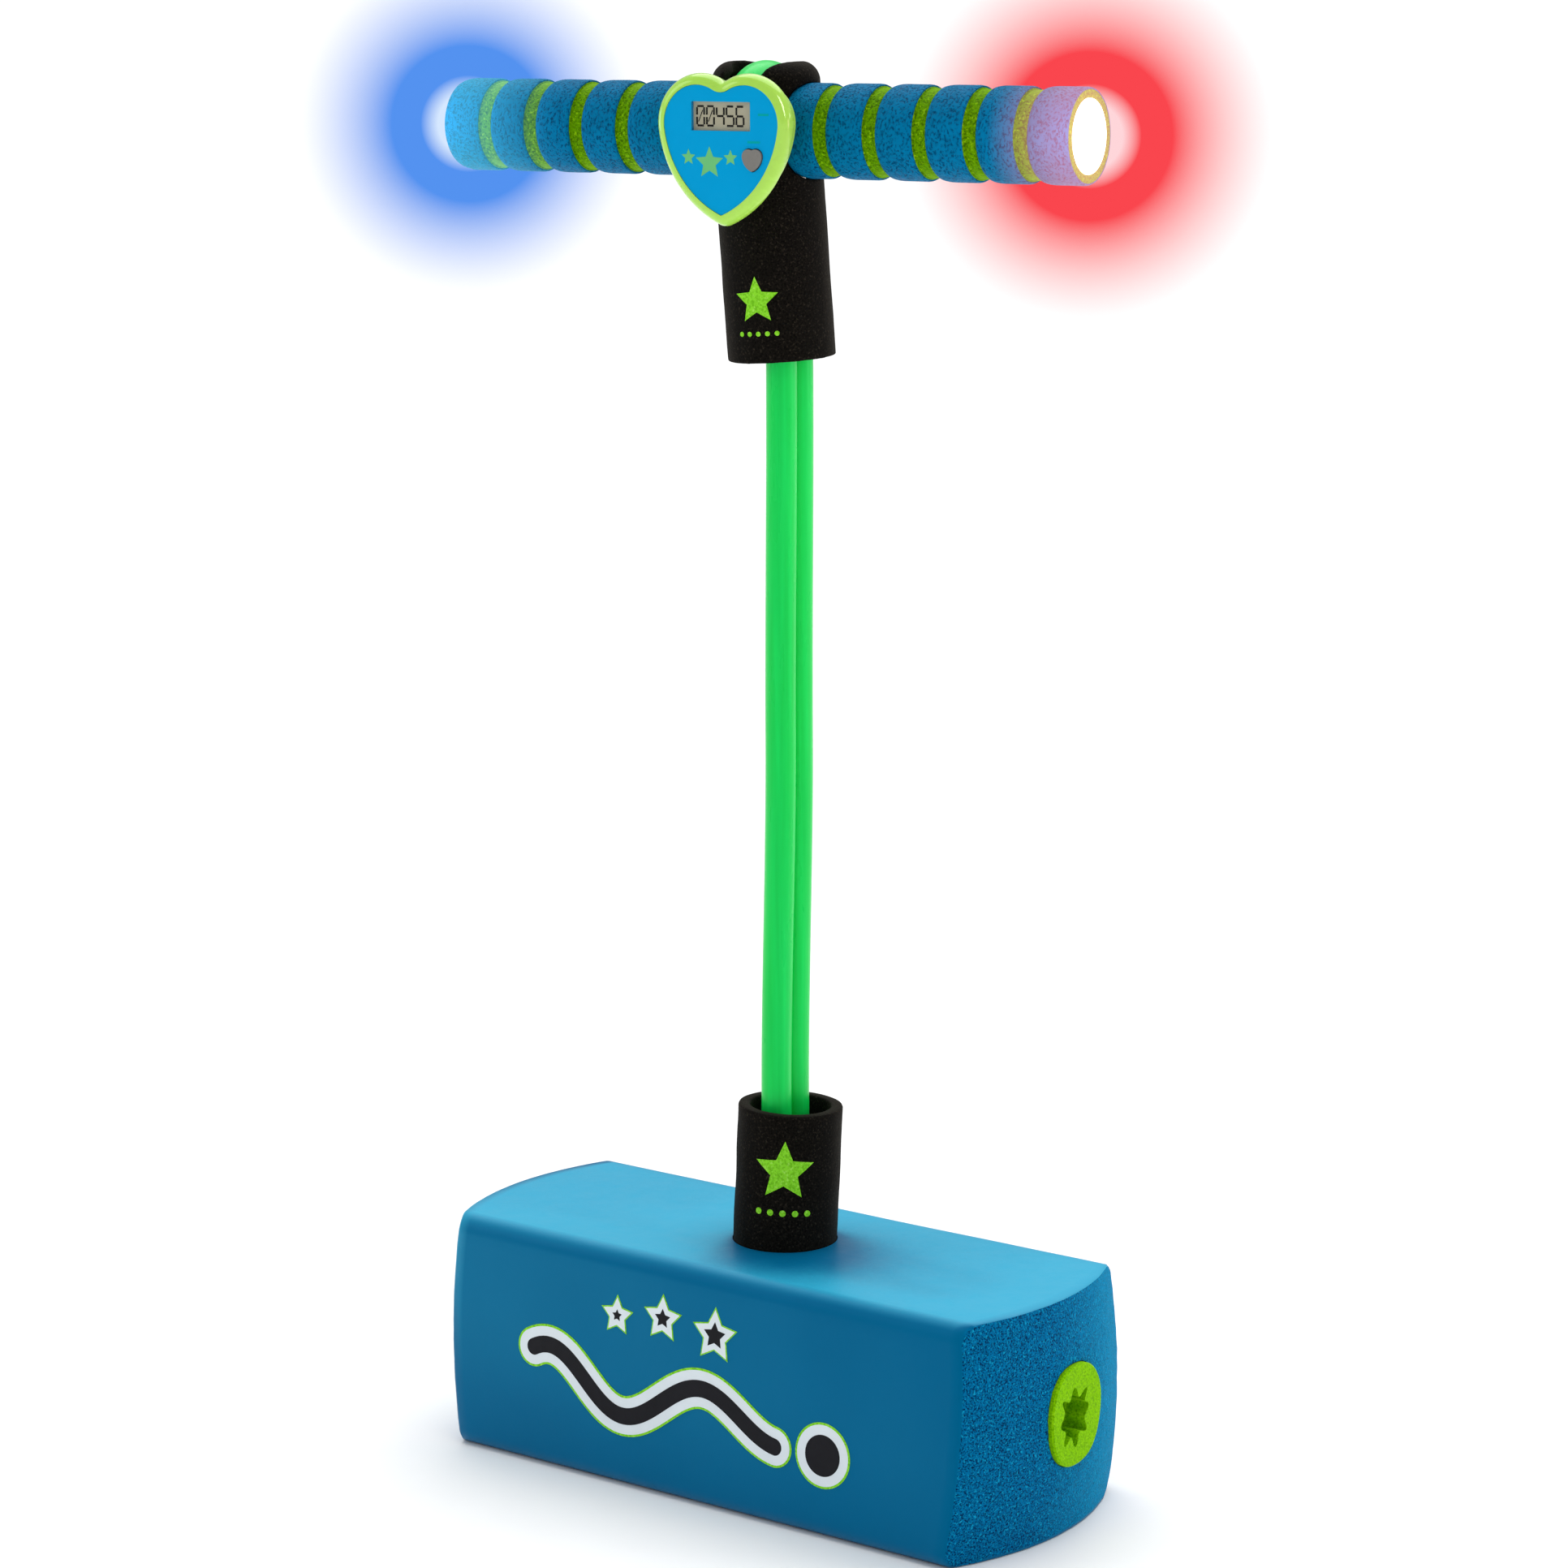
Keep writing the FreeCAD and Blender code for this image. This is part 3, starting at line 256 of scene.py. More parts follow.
class Finish:
    """A procedural material: the principled shader with noise in its colour, gloss and bumps."""

    def __init__(self, name, shine=0.5, shine_tint=(1, 1, 1, 1), **sockets):
        self.material = bpy.data.materials.new(name)
        self.material.use_nodes = True
        self.tree = self.material.node_tree
        self.shader = self.tree.nodes["Principled BSDF"]
        self.place = self.add("TexCoord").outputs["Object"]
        self.set_inputs(self.shader, Specular_IOR_Level=shine, Specular_Tint=shine_tint, **sockets)

    def set_inputs(self, node, **sockets):
        """Feeds a node's inputs by name, with _ for each space."""
        for socket, value in sockets.items():
            self.feed(node.inputs[socket.replace("_", " ")], value)

    def add(self, kind, **sockets):
        """A shader node with its inputs fed by name."""
        node = self.tree.nodes.new("ShaderNode" + kind)
        self.set_inputs(node, **sockets)
        return node

    def feed(self, socket, value):
        """Sets an input to a value, or links it to another node's output."""
        if isinstance(value, bpy.types.NodeSocket):
            self.tree.links.new(value, socket)
        else:
            socket.default_value = value

    def stretched(self, stretch):
        """The position with one or more directions drawn out, for streaks."""
        scale = tuple(1 / share for share in stretch)
        return self.add("Mapping", Vector=self.place, Scale=scale).outputs[0]

    def grain(self, size, detail=2.0, stretch=(1, 1, 1)):
        """Noise whose blobs are about `size` across."""
        place = self.place if stretch == (1, 1, 1) else self.stretched(stretch)
        return self.add("TexNoise", Vector=place, Scale=1 / size, Detail=detail).outputs[0]

    def cells(self, size):
        """Distance to the nearest of many scattered points about `size` apart: foam cells."""
        return self.add("TexVoronoi", Vector=self.place, Scale=1 / size).outputs[0]

    def limits(self, value, low, high, bottom=0.0, top=1.0):
        """A value's range low-high mapped to bottom-top, and held there outside it."""
        node = self.add("MapRange", Value=value)
        for index, number in enumerate((low, high, bottom, top), start=1):
            node.inputs[index].default_value = number
        return node.outputs[0]

    def mixed(self, share, first, second):
        """Two colours mixed by a share."""
        node = self.add("Mix")
        node.data_type = "RGBA"
        self.feed(node.inputs[0], share)
        self.feed(node.inputs[6], first)
        self.feed(node.inputs[7], second)
        return node.outputs[2]

    def worked_out(self, kind, operation, *values):
        """A node that works something out from the values on its first inputs."""
        node = self.add(kind)
        node.operation = operation
        for socket, value in zip(node.inputs, values):
            self.feed(socket, value)
        return node

    def edge_on(self):
        """0 where the surface faces the eye, 1 where it is seen edge-on."""
        return self.add("LayerWeight", Blend=0.5).outputs["Facing"]

    def open_mirror(self, reach):
        """1 where the surface would mirror open air, less where it would mirror something near: the mask of a
        painted reflection.
        """
        surface = self.add("NewGeometry").outputs
        mirror = self.worked_out("VectorMath", "REFLECT", surface["Incoming"], surface["Normal"])
        outward = self.worked_out("VectorMath", "SCALE", mirror.outputs["Vector"])
        outward.inputs["Scale"].default_value = -1
        near = self.add("AmbientOcclusion", Distance=reach, Normal=outward.outputs["Vector"])
        return self.limits(near.outputs["AO"], 0.48, 0.66)

    def away_from(self, centre):
        """The distance from a point."""
        return self.worked_out("VectorMath", "DISTANCE", self.place, centre).outputs["Value"]

    def maths(self, operation, first, second=0.0):
        """A sum, product or the like of two values."""
        return self.worked_out("Math", operation, first, second).outputs[0]

    def lens_glow(self):
        """Painted glow: the coloured light of the lit ends, painted as emission on the foam next to them."""
        shares = []
        for centre, reach, strength in ((LEFT_LENS, 56 * MM, 0.50), (RIGHT_LENS, 38 * MM, 0.7)):
            shares.append(self.limits(self.away_from(centre), 14 * MM, reach, strength, 0.0))
        side = self.limits(shares[1], 0.0, 0.001)
        tint = self.mixed(side, LEFT_GLOW, RIGHT_GLOW)
        self.feed(self.shader.inputs["Emission Color"], tint)
        share = self.maths("MAXIMUM", *shares)
        self.feed(self.shader.inputs["Emission Strength"], self.maths("POWER", share, 1.5))

    def colour(self, value):
        """Sets the surface's own colour."""
        self.feed(self.shader.inputs["Base Color"], value)

    def gloss(self, pattern, shiny, dull, low=0.3, high=0.7):
        """Spreads the roughness between two values by a pattern."""
        self.feed(self.shader.inputs["Roughness"], self.limits(pattern, low, high, shiny, dull))

    def bumps(self, *layers):
        """Relief from pairs of a height and its depth in metres."""
        normal = None
        for height, depth in layers:
            node = self.add("Bump", Height=height, Strength=1.0, Distance=depth)
            if normal is not None:
                self.feed(node.inputs["Normal"], normal)
            normal = node.outputs[0]
        self.feed(self.shader.inputs["Normal"], normal)


def skin_foam():
    """The base's moulded skin: satin blue with a faint orange peel, and a painted sheen that makes it paler where
    it is seen edge-on, held back by a painted reflection where something near would be mirrored.
    """
    look = Finish("base_skin", 0.25, screen(0, 120, 200))
    cloud = look.grain(60 * MM)
    body = look.mixed(cloud, screen(0, 97, 139), screen(0, 103, 147))
    # Painted sheen: pale cyan where the skin is seen edge-on, darkened by a painted reflection where something
    # near would be mirrored.
    painted_sheen = look.limits(look.edge_on(), 0.2, 0.7, 0.0, 0.66)
    painted_sheen = look.maths("MULTIPLY", painted_sheen, look.open_mirror(90 * MM))
    look.colour(look.mixed(painted_sheen, body, screen(60, 196, 232)))
    look.gloss(look.grain(9 * MM, 4), 0.34, 0.44)
    look.bumps((look.grain(1.6 * MM, 3), 0.03 * MM), (look.grain(14 * MM), 0.12 * MM))
    return look.material


def speckled_foam(name, dark, body, light, cell, depth, gloss=0.85, lit=False):
    """Cut foam: open cells a fraction of a millimetre wide with pale cell walls, painted shade in its pits and in
    the hollows of its bumps, and a painted sheen where it is seen edge-on.
    """
    dark, body, light = screen(*dark), screen(*body), screen(*light)
    look = Finish(name, 0.12, light)
    fine = look.grain(cell, 3)
    pits = look.limits(look.cells(cell * 1.4), 0.05, 0.45)
    # Painted shade: darker where the fine bumps dip and in the pits.
    shaded = look.mixed(look.limits(fine, 0.36, 0.56), dark, body)
    flecked = look.mixed(look.limits(look.grain(cell * 1.3, 4), 0.56, 0.72), shaded, light)
    pitted = look.mixed(look.limits(pits, 0.0, 0.35, 0.35, 0.0), flecked, dark)
    # Painted sheen: paler where the foam is seen edge-on.
    look.colour(look.mixed(look.limits(look.edge_on(), 0.4, 0.75, 0.0, 0.4), pitted, light))
    look.gloss(fine, gloss - 0.1, gloss + 0.1)
    look.bumps((fine, depth), (pits, depth * 0.6))
    if lit:
        look.lens_glow()
    return look.material


def pitted_foam(name, body, pit, gloss=0.6):
    """Ground closed-cell foam: an even colour with small scattered pits, painted shade where the pits and creases
    dip, and the painted glow of the lit ends.
    """
    body, pit = screen(*body), screen(*pit)
    look = Finish(name, 0.1, body)
    cloud = look.limits(look.grain(7 * MM, 4), 0.35, 0.65, 0.0, 0.5)
    holes = look.limits(look.cells(1.1 * MM), 0.0, 0.3)
    creases = look.limits(look.grain(0.9 * MM, 4, stretch=(1, 1, 1.6)), 0.34, 0.5)
    tone = look.mixed(cloud, body, darker(body, 0.82))
    # Painted shade: the pit colour fills the hollows of the pits and creases.
    look.colour(look.mixed(look.maths("MULTIPLY", holes, creases), pit, tone))
    look.gloss(look.grain(0.9 * MM, 3), gloss - 0.12, gloss + 0.12)
    look.bumps((creases, 0.22 * MM), (holes, 0.3 * MM))
    look.lens_glow()
    return look.material


def cord_rubber():
    """Stretched latex cord: bright and slightly see-through, with streaks drawn out along it."""
    look = Finish(
        "cord_rubber",
        0.45,
        screen(150, 255, 190),
        Subsurface_Weight=0.25,
        Subsurface_Radius=(0.4, 1.0, 0.5),
        Subsurface_Scale=3 * MM,
    )
    streak = look.grain(2.4 * MM, 3, stretch=(1, 1, 30))
    cloud = look.grain(25 * MM, 2, stretch=(1, 1, 3))
    tone = look.mixed(streak, screen(0, 196, 62), screen(20, 232, 100))
    look.colour(look.mixed(look.limits(cloud, 0.4, 0.7, 0.0, 0.35), tone, screen(0, 205, 90)))
    look.gloss(look.grain(5 * MM, 3, stretch=(1, 1, 6)), 0.24, 0.38)
    look.bumps((streak, 0.05 * MM), (look.grain(0.8 * MM), 0.01 * MM))
    return look.material


def plastic(name, colour, gloss, shade=0.85, coat=0.0):
    """Moulded plastic: an even colour, a faint flow pattern and fine handling marks."""
    colour = screen(*colour)
    look = Finish(name, 0.4, colour, Coat_Weight=coat)
    flow = look.limits(look.grain(12 * MM, 3), 0.35, 0.75, 0.0, 0.6)
    look.colour(look.mixed(flow, colour, darker(colour, shade)))
    marks = look.grain(3 * MM, 5, stretch=(1, 4, 1))
    look.gloss(marks, gloss, gloss + 0.12, low=0.35)
    look.bumps((look.grain(1.2 * MM, 2), 0.006 * MM))
    return look.material


def metal(name, colour, gloss):
    """Plated or stamped metal with fine rolling marks."""
    colour = screen(*colour)
    look = Finish(name, Metallic=1.0)
    brushed = look.grain(0.6 * MM, 4, stretch=(12, 1, 1))
    look.colour(look.mixed(brushed, colour, darker(colour, 0.7)))
    look.gloss(brushed, gloss, gloss + 0.2)
    look.bumps((brushed, 0.01 * MM))
    return look.material


def clear_plastic(name):
    """The display's window: see-through, with a soft shine and hairline scratches."""
    look = Finish(name, Alpha=0.1, Base_Color=(0.03, 0.03, 0.03, 1))
    scratches = look.grain(2 * MM, 5, stretch=(9, 1, 1))
    look.gloss(scratches, 0.08, 0.3, 0.4, 0.8)
    look.bumps((scratches, 0.003 * MM))
    return look.material


def circuit_board():
    """Green lacquer over copper tracks."""
    look = Finish("circuit_board_look")
    tracks = look.limits(look.grain(2.2 * MM, 0, stretch=(4, 1, 1)), 0.48, 0.52)
    look.colour(look.mixed(tracks, screen(14, 84, 46), screen(44, 128, 70)))
    look.gloss(look.grain(1 * MM), 0.25, 0.4)
    look.bumps((tracks, 0.03 * MM))
    return look.material


def lit_lens(name, centre, colour, middle_strength, edge_strength):
    """A frosted cap with a light behind it: white-hot in the middle and coloured at its rim."""
    look = Finish(name, Roughness=0.4, Base_Color=(0.9, 0.9, 0.9, 1))
    away = look.limits(look.away_from(centre), 6 * MM, 14.5 * MM)
    frost = look.grain(1.1 * MM, 3)
    clouded = look.limits(frost, 0.2, 0.8, 0.0, 0.06)
    tone = look.mixed(clouded, look.mixed(away, (1, 1, 1, 1), colour), colour)
    look.feed(look.shader.inputs["Emission Color"], tone)
    strength = look.limits(away, 0.0, 1.0, middle_strength, edge_strength)
    look.feed(look.shader.inputs["Emission Strength"], strength)
    look.bumps((frost, 0.03 * MM))
    return look.material


BLUE_SKIN = skin_foam()
BLUE_CUT = speckled_foam("base_cut_end", (0, 36, 78), (0, 112, 166), (20, 164, 208), 0.7 * MM, 0.45 * MM)
LIME_CUT = speckled_foam(
    "lime_foam_look", (96, 160, 0), (132, 198, 4), (150, 210, 24), 0.8 * MM, 0.12 * MM, 0.75
)
# A darker copy of the lime foam for the grip's core: painted shade in the grooves between the rings, with the
# painted glow of the lit ends.
SHADED_LIME_GROOVE = speckled_foam(
    "groove_foam_shaded_look", (60, 100, 0), (94, 150, 0), (140, 192, 16), 0.9 * MM, 0.3 * MM, 0.8, lit=True
)
BLACK_FOAM = speckled_foam(
    "black_foam_look", (10, 9, 8), (22, 20, 17), (48, 43, 36), 0.7 * MM, 0.14 * MM, 0.8
)
GRIP_SKIN = pitted_foam("grip_skin", (0, 116, 164), (0, 74, 114))
CORD = cord_rubber()
LIME_PRINT = speckled_foam(
    "lime_print", (110, 190, 30), (140, 222, 50), (170, 235, 90), 0.9 * MM, 0.12 * MM, 0.6
)
WHITE_PRINT = plastic("white_print", (228, 238, 244), 0.5, 0.92)
BLACK_PRINT = plastic("black_print", (34, 34, 38), 0.55)
DARK_PRINT = plastic("dark_print", (28, 28, 24), 0.5)
PALE_PRINT = plastic("pale_print", (112, 196, 124), 0.4)
DIM_PRINT = plastic("dim_print", (0, 168, 168), 0.4)

# The CAD nodes' plastics by material slot: screen colour, roughness, the share of the colour that
# the darker flow marks keep, and the clear coat.
PLASTICS = {
    "grey_rubber": ((120, 122, 124), 0.7, 0.85, 0.0),
    "white_plastic": ((225, 226, 224), 0.35, 0.94, 0.0),
    "lime_plastic": ((172, 226, 82), 0.2, 0.93, 0.9),
    "blue_plastic": ((0, 158, 216), 0.3, 0.95, 0.0),
    "display_glass": ((206, 200, 172), 0.3, 0.95, 0.0),
    "grey_plastic": ((124, 122, 117), 0.2, 0.8, 0.6),
    "light_lens": ((240, 240, 240), 0.3, 0.97, 0.0),
    "led_blue": ((70, 130, 250), 0.15, 0.85, 0.0),
    "led_red": ((250, 70, 70), 0.15, 0.85, 0.0),
}

# The finish of each material slot.
SLOT_LOOKS = {
    "base_foam": BLUE_SKIN,
    "lime_foam": LIME_CUT,
    "blue_foam": GRIP_SKIN,
    "black_foam": BLACK_FOAM,
    "green_cord": CORD,
    "clear_window": clear_plastic("clear_window_look"),
    "circuit_board": circuit_board(),
    "cell_steel": metal("cell_steel_look", (196, 198, 200), 0.22),
    "spring_steel": metal("spring_steel_look", (170, 170, 166), 0.3),
}
for slot, (colour, gloss, shade, coat) in PLASTICS.items():
    SLOT_LOOKS[slot] = plastic(f"{slot}_look", colour, gloss, shade, coat)


def paint(item, *looks):
    """Replaces an object's materials."""
    item.data.materials.clear()
    for look in looks:
        item.data.materials.append(look)


def dress_cad_nodes():
    """Gives every CAD node the look of its slot and smooth shading on its round faces."""
    for row in frame["record"]["subparts"]:
        node = frame["nodes"][row["node"]]
        paint(node, SLOT_LOOKS[row["material_slot"]])
        soften(node, 30)


def enter(item, body=None, stands_for=None):
    """Hangs a piece under its moving body's empty, and hides the CAD node that it stands for."""
    if body:
        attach(item, body)
    if stands_for:
        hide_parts(stands_for)


# ---- base ----

BASE_TOP_HALF_WIDTH = BASE_HALF_WIDTH - 7 * MM
BASE_BACK_CORNER = 16 * MM
BASE_FRONT_CORNER = 6 * MM
BASE_TOP_CORNER = 8 * MM
END_PLAN_RADIUS = 114 * MM
END_RISE_RADIUS = 290 * MM
SKIN_EDGE = 0.8 * MM
CORE_MIDDLE = Vector((0, 3 * MM, 48.5 * MM))
CORE_HALF_WIDTH = 17.4 * MM
CORE_HALF_HEIGHT = 20.2 * MM
CORE_GAP = 0.35 * MM
CORE_PROUD = 1.2 * MM
CORE_ROUNDING = 0.7 * MM
SOCKET_RADIUS = 21.1 * MM
SOCKET_DEPTH = 24.4 * MM
SOCKET_FLARE = 1.6 * MM
SLOT_HALF_WIDTH = 7.4 * MM
SLOT_HALF_DEPTH = 18.4 * MM
SLOT_FLOOR = 41 * MM
SLOT_TOP = 71.4 * MM


def end_reach(y, z):
    """How far from the middle the domed end lies at a point of the cross-section."""
    across = END_PLAN_RADIUS - sqrt(END_PLAN_RADIUS**2 - y**2)
    rise = END_RISE_RADIUS - sqrt(END_RISE_RADIUS**2 - (z - BASE_HEIGHT / 2) ** 2)
    return BASE_HALF_LENGTH - across - rise


def rounded_outline(corners, arc_steps, spacing):
    """A polygon's outline through (corner, radius) pairs, its straight sides split at a spacing."""
    points = []
    for number, (corner, radius) in enumerate(corners):
        before = (corners[number - 1][0] - corner).normalized()
        after = (corners[(number + 1) % len(corners)][0] - corner).normalized()
        half = before.angle(after) / 2
        centre = corner + (before + after).normalized() * (radius / sin(half))
        start = corner + before * (radius / tan(half)) - centre
        end = corner + after * (radius / tan(half)) - centre
        first = atan2(start.y, start.x)
        turn = (atan2(end.y, end.x) - first + pi) % FULL_TURN - pi
        for step in range(arc_steps + 1):
            angle = first + turn * step / arc_steps
            points.append(centre + Vector((cos(angle), sin(angle))) * radius)
    outline = []
    for number, point in enumerate(points):
        gap = points[(number + 1) % len(points)] - point
        pieces = max(int(gap.length / spacing), 1)
        outline += [point + gap * (step / pieces) for step in range(pieces)]
    return outline


def core_reach(angle):
    """The core's outline: a squashed circle, fuller at its corners, tapering low on one side."""
    power = 2.35
    wide = abs(cos(angle) / CORE_HALF_WIDTH) ** power
    tall = abs(sin(angle) / CORE_HALF_HEIGHT) ** power
    taper = 1 - 0.08 * exp(-((atan2(sin(angle + 0.6), cos(angle + 0.6)) / 0.7) ** 2))
    return (wide + tall) ** (-1 / power) * taper


def section_point(x, y, z):
    """A point of the base's skin, with the slight waviness of moulded foam."""
    point = Vector((x, y, z))
    out = Vector((0, y, z - BASE_HEIGHT / 2)).normalized()
    lift = 0.3 * MM * wobble(point, 45 * MM) * smooth_step(z / (8 * MM))
    return point + out * lift


def foam_base():
    """The big foam block: skin along it, cut domed ends, a tunnel for the core and a socket."""
    corners = [
        (Vector((BASE_HALF_WIDTH, 0)), BASE_BACK_CORNER),
        (Vector((BASE_TOP_HALF_WIDTH, BASE_HEIGHT)), BASE_TOP_CORNER),
        (Vector((-BASE_TOP_HALF_WIDTH, BASE_HEIGHT)), BASE_TOP_CORNER),
        (Vector((-BASE_HALF_WIDTH, 0)), BASE_FRONT_CORNER),
    ]
    outline = rounded_outline(corners, 12, 4 * MM)
    tunnel = []
    for y, z in outline:
        angle = atan2(z - CORE_MIDDLE.z, y - CORE_MIDDLE.y)
        reach = core_reach(angle) + CORE_GAP
        tunnel.append((CORE_MIDDLE.y + reach * cos(angle), CORE_MIDDLE.z + reach * sin(angle)))
    stations, cap_rings = 56, 34
    rings = []
    for station in range(stations + 1):
        share = -1 + 2 * station / stations
        rings.append([section_point(share * (end_reach(y, z) - SKIN_EDGE), y, z) for y, z in outline])
    caps = []
    for ring in range(cap_rings + 1):
        share = (ring / cap_rings) * 0.985 + 0.015
        cap = []
        for (y, z), (inner_y, inner_z) in zip(outline, tunnel):
            point_y, point_z = y + (inner_y - y) * share, z + (inner_z - z) * share
            cap.append((end_reach(point_y, point_z), point_y, point_z))
        caps.append(cap)
    for side in (1, -1):
        ordered = caps if side > 0 else list(reversed(caps))
        for cap in ordered:
            ring = []
            for reach, y, z in cap:
                rough = 0.22 * MM * wobble((side * reach, y, z), 2.5 * MM)
                ring.append(Vector((side * (reach + rough), y, z)))
            rings.append(ring)
    item = loft("foam_base_block", rings, closed_path=True)
    # The socket widens downwards, so that the tilted sleeve can turn in it.
    levels = []
    for flare in (SOCKET_FLARE, -SOCKET_FLARE):
        height = -SOCKET_DEPTH * flare / SOCKET_FLARE
        levels.append([LOWER_SLEEVE @ Vector((x, y, height)) for x, y in circle(SOCKET_RADIUS + flare)])
    carve(item, loft("socket_tool", levels), cord_slot("slot_tool"))
    paint(item, BLUE_SKIN, BLUE_CUT)
    for face in item.data.polygons:
        in_socket = face.center.z < BASE_HEIGHT - 3 * MM and abs(face.center.y) < 24 * MM
        if (abs(face.normal.x) > 0.72 or in_socket) and face.center.z > 1 * MM:
            face.material_index = 1
    soften(item, 40)
    enter(item, "base", "foam_base")


def leaning(angle, heading=LEAN_HEADING):
    """A turn that tips the upper end towards a heading, by an angle in degrees."""
    axis = Vector((-sin(heading), cos(heading), 0))
    return Matrix.Rotation(radians(angle), 4, axis)


def cord_slot(name):
    """The room that the cord's lower loop needs, as a tool for cutting."""
    outline = box_outline(-SLOT_HALF_WIDTH, SLOT_HALF_WIDTH, SLOT_FLOOR, SLOT_TOP)
    return prism(name, outline, -SLOT_HALF_DEPTH, SLOT_HALF_DEPTH, Matrix.Identity(4))


# The star-shaped mouth of the core: each lobe's angle, how far it reaches and how wide it is.
CORE_LOBES = (
    (90, 11.6, 15),
    (48, 12.8, 10),
    (14, 10.2, 16),
    (-42, 11.2, 13),
    (-86, 12.6, 13),
    (-124, 12.4, 11),
    (-168, 9.6, 17),
    (136, 11.4, 11),
)
CORE_BORE_MIDDLE = CORE_MIDDLE - Vector((0, 2.4 * MM, 0))
CORE_BORE = 7.2 * MM
LOBE_DEPTH = 9 * MM


def lobed_reach(angle):
    """The core's bore at its mouth, with rounded lobes."""
    heading = degrees(angle)
    reach = CORE_BORE
    for lobe, tip, width in CORE_LOBES:
        away = (heading - lobe + 180) % 360 - 180
        reach += (tip * MM - CORE_BORE) * exp(-((away / width) ** 2))
    return reach


def core():
    """The lime foam core: lobed mouths, a round bore between them and a slot for the cord."""

    def ring(x, reach_at, centre=CORE_MIDDLE):
        points = []
        for angle in turns(144):
            y = centre.y + reach_at(angle) * cos(angle)
            z = centre.z + reach_at(angle) * sin(angle)
            points.append(Vector((x, y, z)))
        return points

    half = BASE_HALF_LENGTH + CORE_PROUD
    rings = []
    for station in range(21):
        x = (half - CORE_ROUNDING) * (-1 + station / 10)
        rings.append(ring(x, core_reach))
    for side in (1, -1):
        rim = ring(side * half, lambda angle: core_reach(angle) - CORE_ROUNDING)
        mouth = ring(side * half, lobed_reach, CORE_BORE_MIDDLE)
        between = [(outer + inner) / 2 for outer, inner in zip(rim, mouth)]
        face = [rim, between, mouth]
        deep = side * (half - LOBE_DEPTH)
        face.append(ring(deep, lambda angle: 0.97 * lobed_reach(angle), CORE_BORE_MIDDLE))
        face.append(ring(deep - side * 0.5 * MM, lambda angle: CORE_BORE, CORE_BORE_MIDDLE))
        rings += face if side > 0 else list(reversed(face))
    item = loft("core_foam", rings, closed_path=True)
    carve(item, cord_slot("core_slot_tool"))
    paint(item, LIME_CUT)
    soften(item, 35)
    enter(item, "base", "core_tube")


# ---- cord ----

CORD_RADIUS = 6 * MM
CORD_FOOT = 48.5 * MM
CORD_LEAN = {48.5: 0.0, 95: 2.0, 150: 3.0, 300: 5.4, 443: 6.4, 534: -2.0}
LOW_LOOP = 10.2 * MM
TOP_LOOP = 21.0 * MM
LOW_SPREAD = 34 * MM
TOP_SPREAD = 36 * MM
TOUCHING = 6.05 * MM
SOCKET_SPLIT = 95 * MM
SLEEVE_SPLIT = 140 * MM


def cord_lean(height):
    """How far the cord's middle line leans at a height."""
    heights = sorted(CORD_LEAN)
    for low, high in zip(heights, heights[1:]):
        if height <= high * MM:
            share = smooth_step((height / MM - low) / (high - low))
            return (CORD_LEAN[low] + (CORD_LEAN[high] - CORD_LEAN[low]) * share) * MM
    return CORD_LEAN[heights[-1]] * MM


def cord_spread(height):
    """Half the distance between the strands: wide at the loops, touching between them."""
    low_share = smooth_step((height - CORD_FOOT) / LOW_SPREAD)
    top_share = smooth_step((HANDLE_CENTRE.z - height) / TOP_SPREAD)
    return TOUCHING + (LOW_LOOP - TOUCHING) * (1 - low_share) + (TOP_LOOP - TOUCHING) * (1 - top_share)


def cord_point(height, side):
    """A point of a strand's middle line; side is -1 for the front strand and 1 for the back one."""
    turn = HANDLE_TURN * (height - CORD_FOOT) / (HANDLE_CENTRE.z - CORD_FOOT)
    across = Vector((-sin(turn), cos(turn), 0))
    return LEAN * cord_lean(height) + across * (side * cord_spread(height)) + UP * height


def half_loop(height, upwards, steps=24):
    """The half circle from the front strand to the back one."""
    start, end = cord_point(height, -1), cord_point(height, 1)
    centre, reach = (start + end) / 2, (start - end) / 2
    points = []
    for step in range(1, steps):
        angle = pi * step / steps
        points.append(centre + reach * cos(angle) + UP * (upwards * reach.length * sin(angle)))
    return points


def strand(low, high, side):
    """A strand's middle line between two heights."""
    steps = max(int((high - low) / (3.5 * MM)), 4)
    return [cord_point(low + (high - low) * step / steps, side) for step in range(steps + 1)]


def tube_along(name, points):
    """The cord's round skin along a path, spread flat where it rides over the tube."""
    rings = []
    for number, point in enumerate(points):
        before = points[max(number - 1, 0)]
        after = points[min(number + 1, len(points) - 1)]
        along = (after - before).normalized()
        if number in (0, len(points) - 1):
            along = UP * (1 if along.z > 0 else -1)
        side = (Vector((1, 0, 0)) - along * along.x).normalized()
        across = along.cross(side)
        spread = smooth_step((point.z - HANDLE_CENTRE.z + 4 * MM) / (16 * MM))
        ring = []
        for angle in turns(32):
            ring.append(
                point
                + side * (CORD_RADIUS * (1 + 0.25 * spread) * cos(angle))
                + across * (CORD_RADIUS * (1 - 0.12 * spread) * sin(angle))
            )
        rings.append(ring)
    item = loft(name, rings)
    soften(item, 60)
    paint(item, CORD)
    enter(item)
    return item


def bend_with_cord(item):
    """Bakes a piece's placement into its mesh."""
    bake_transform(item)


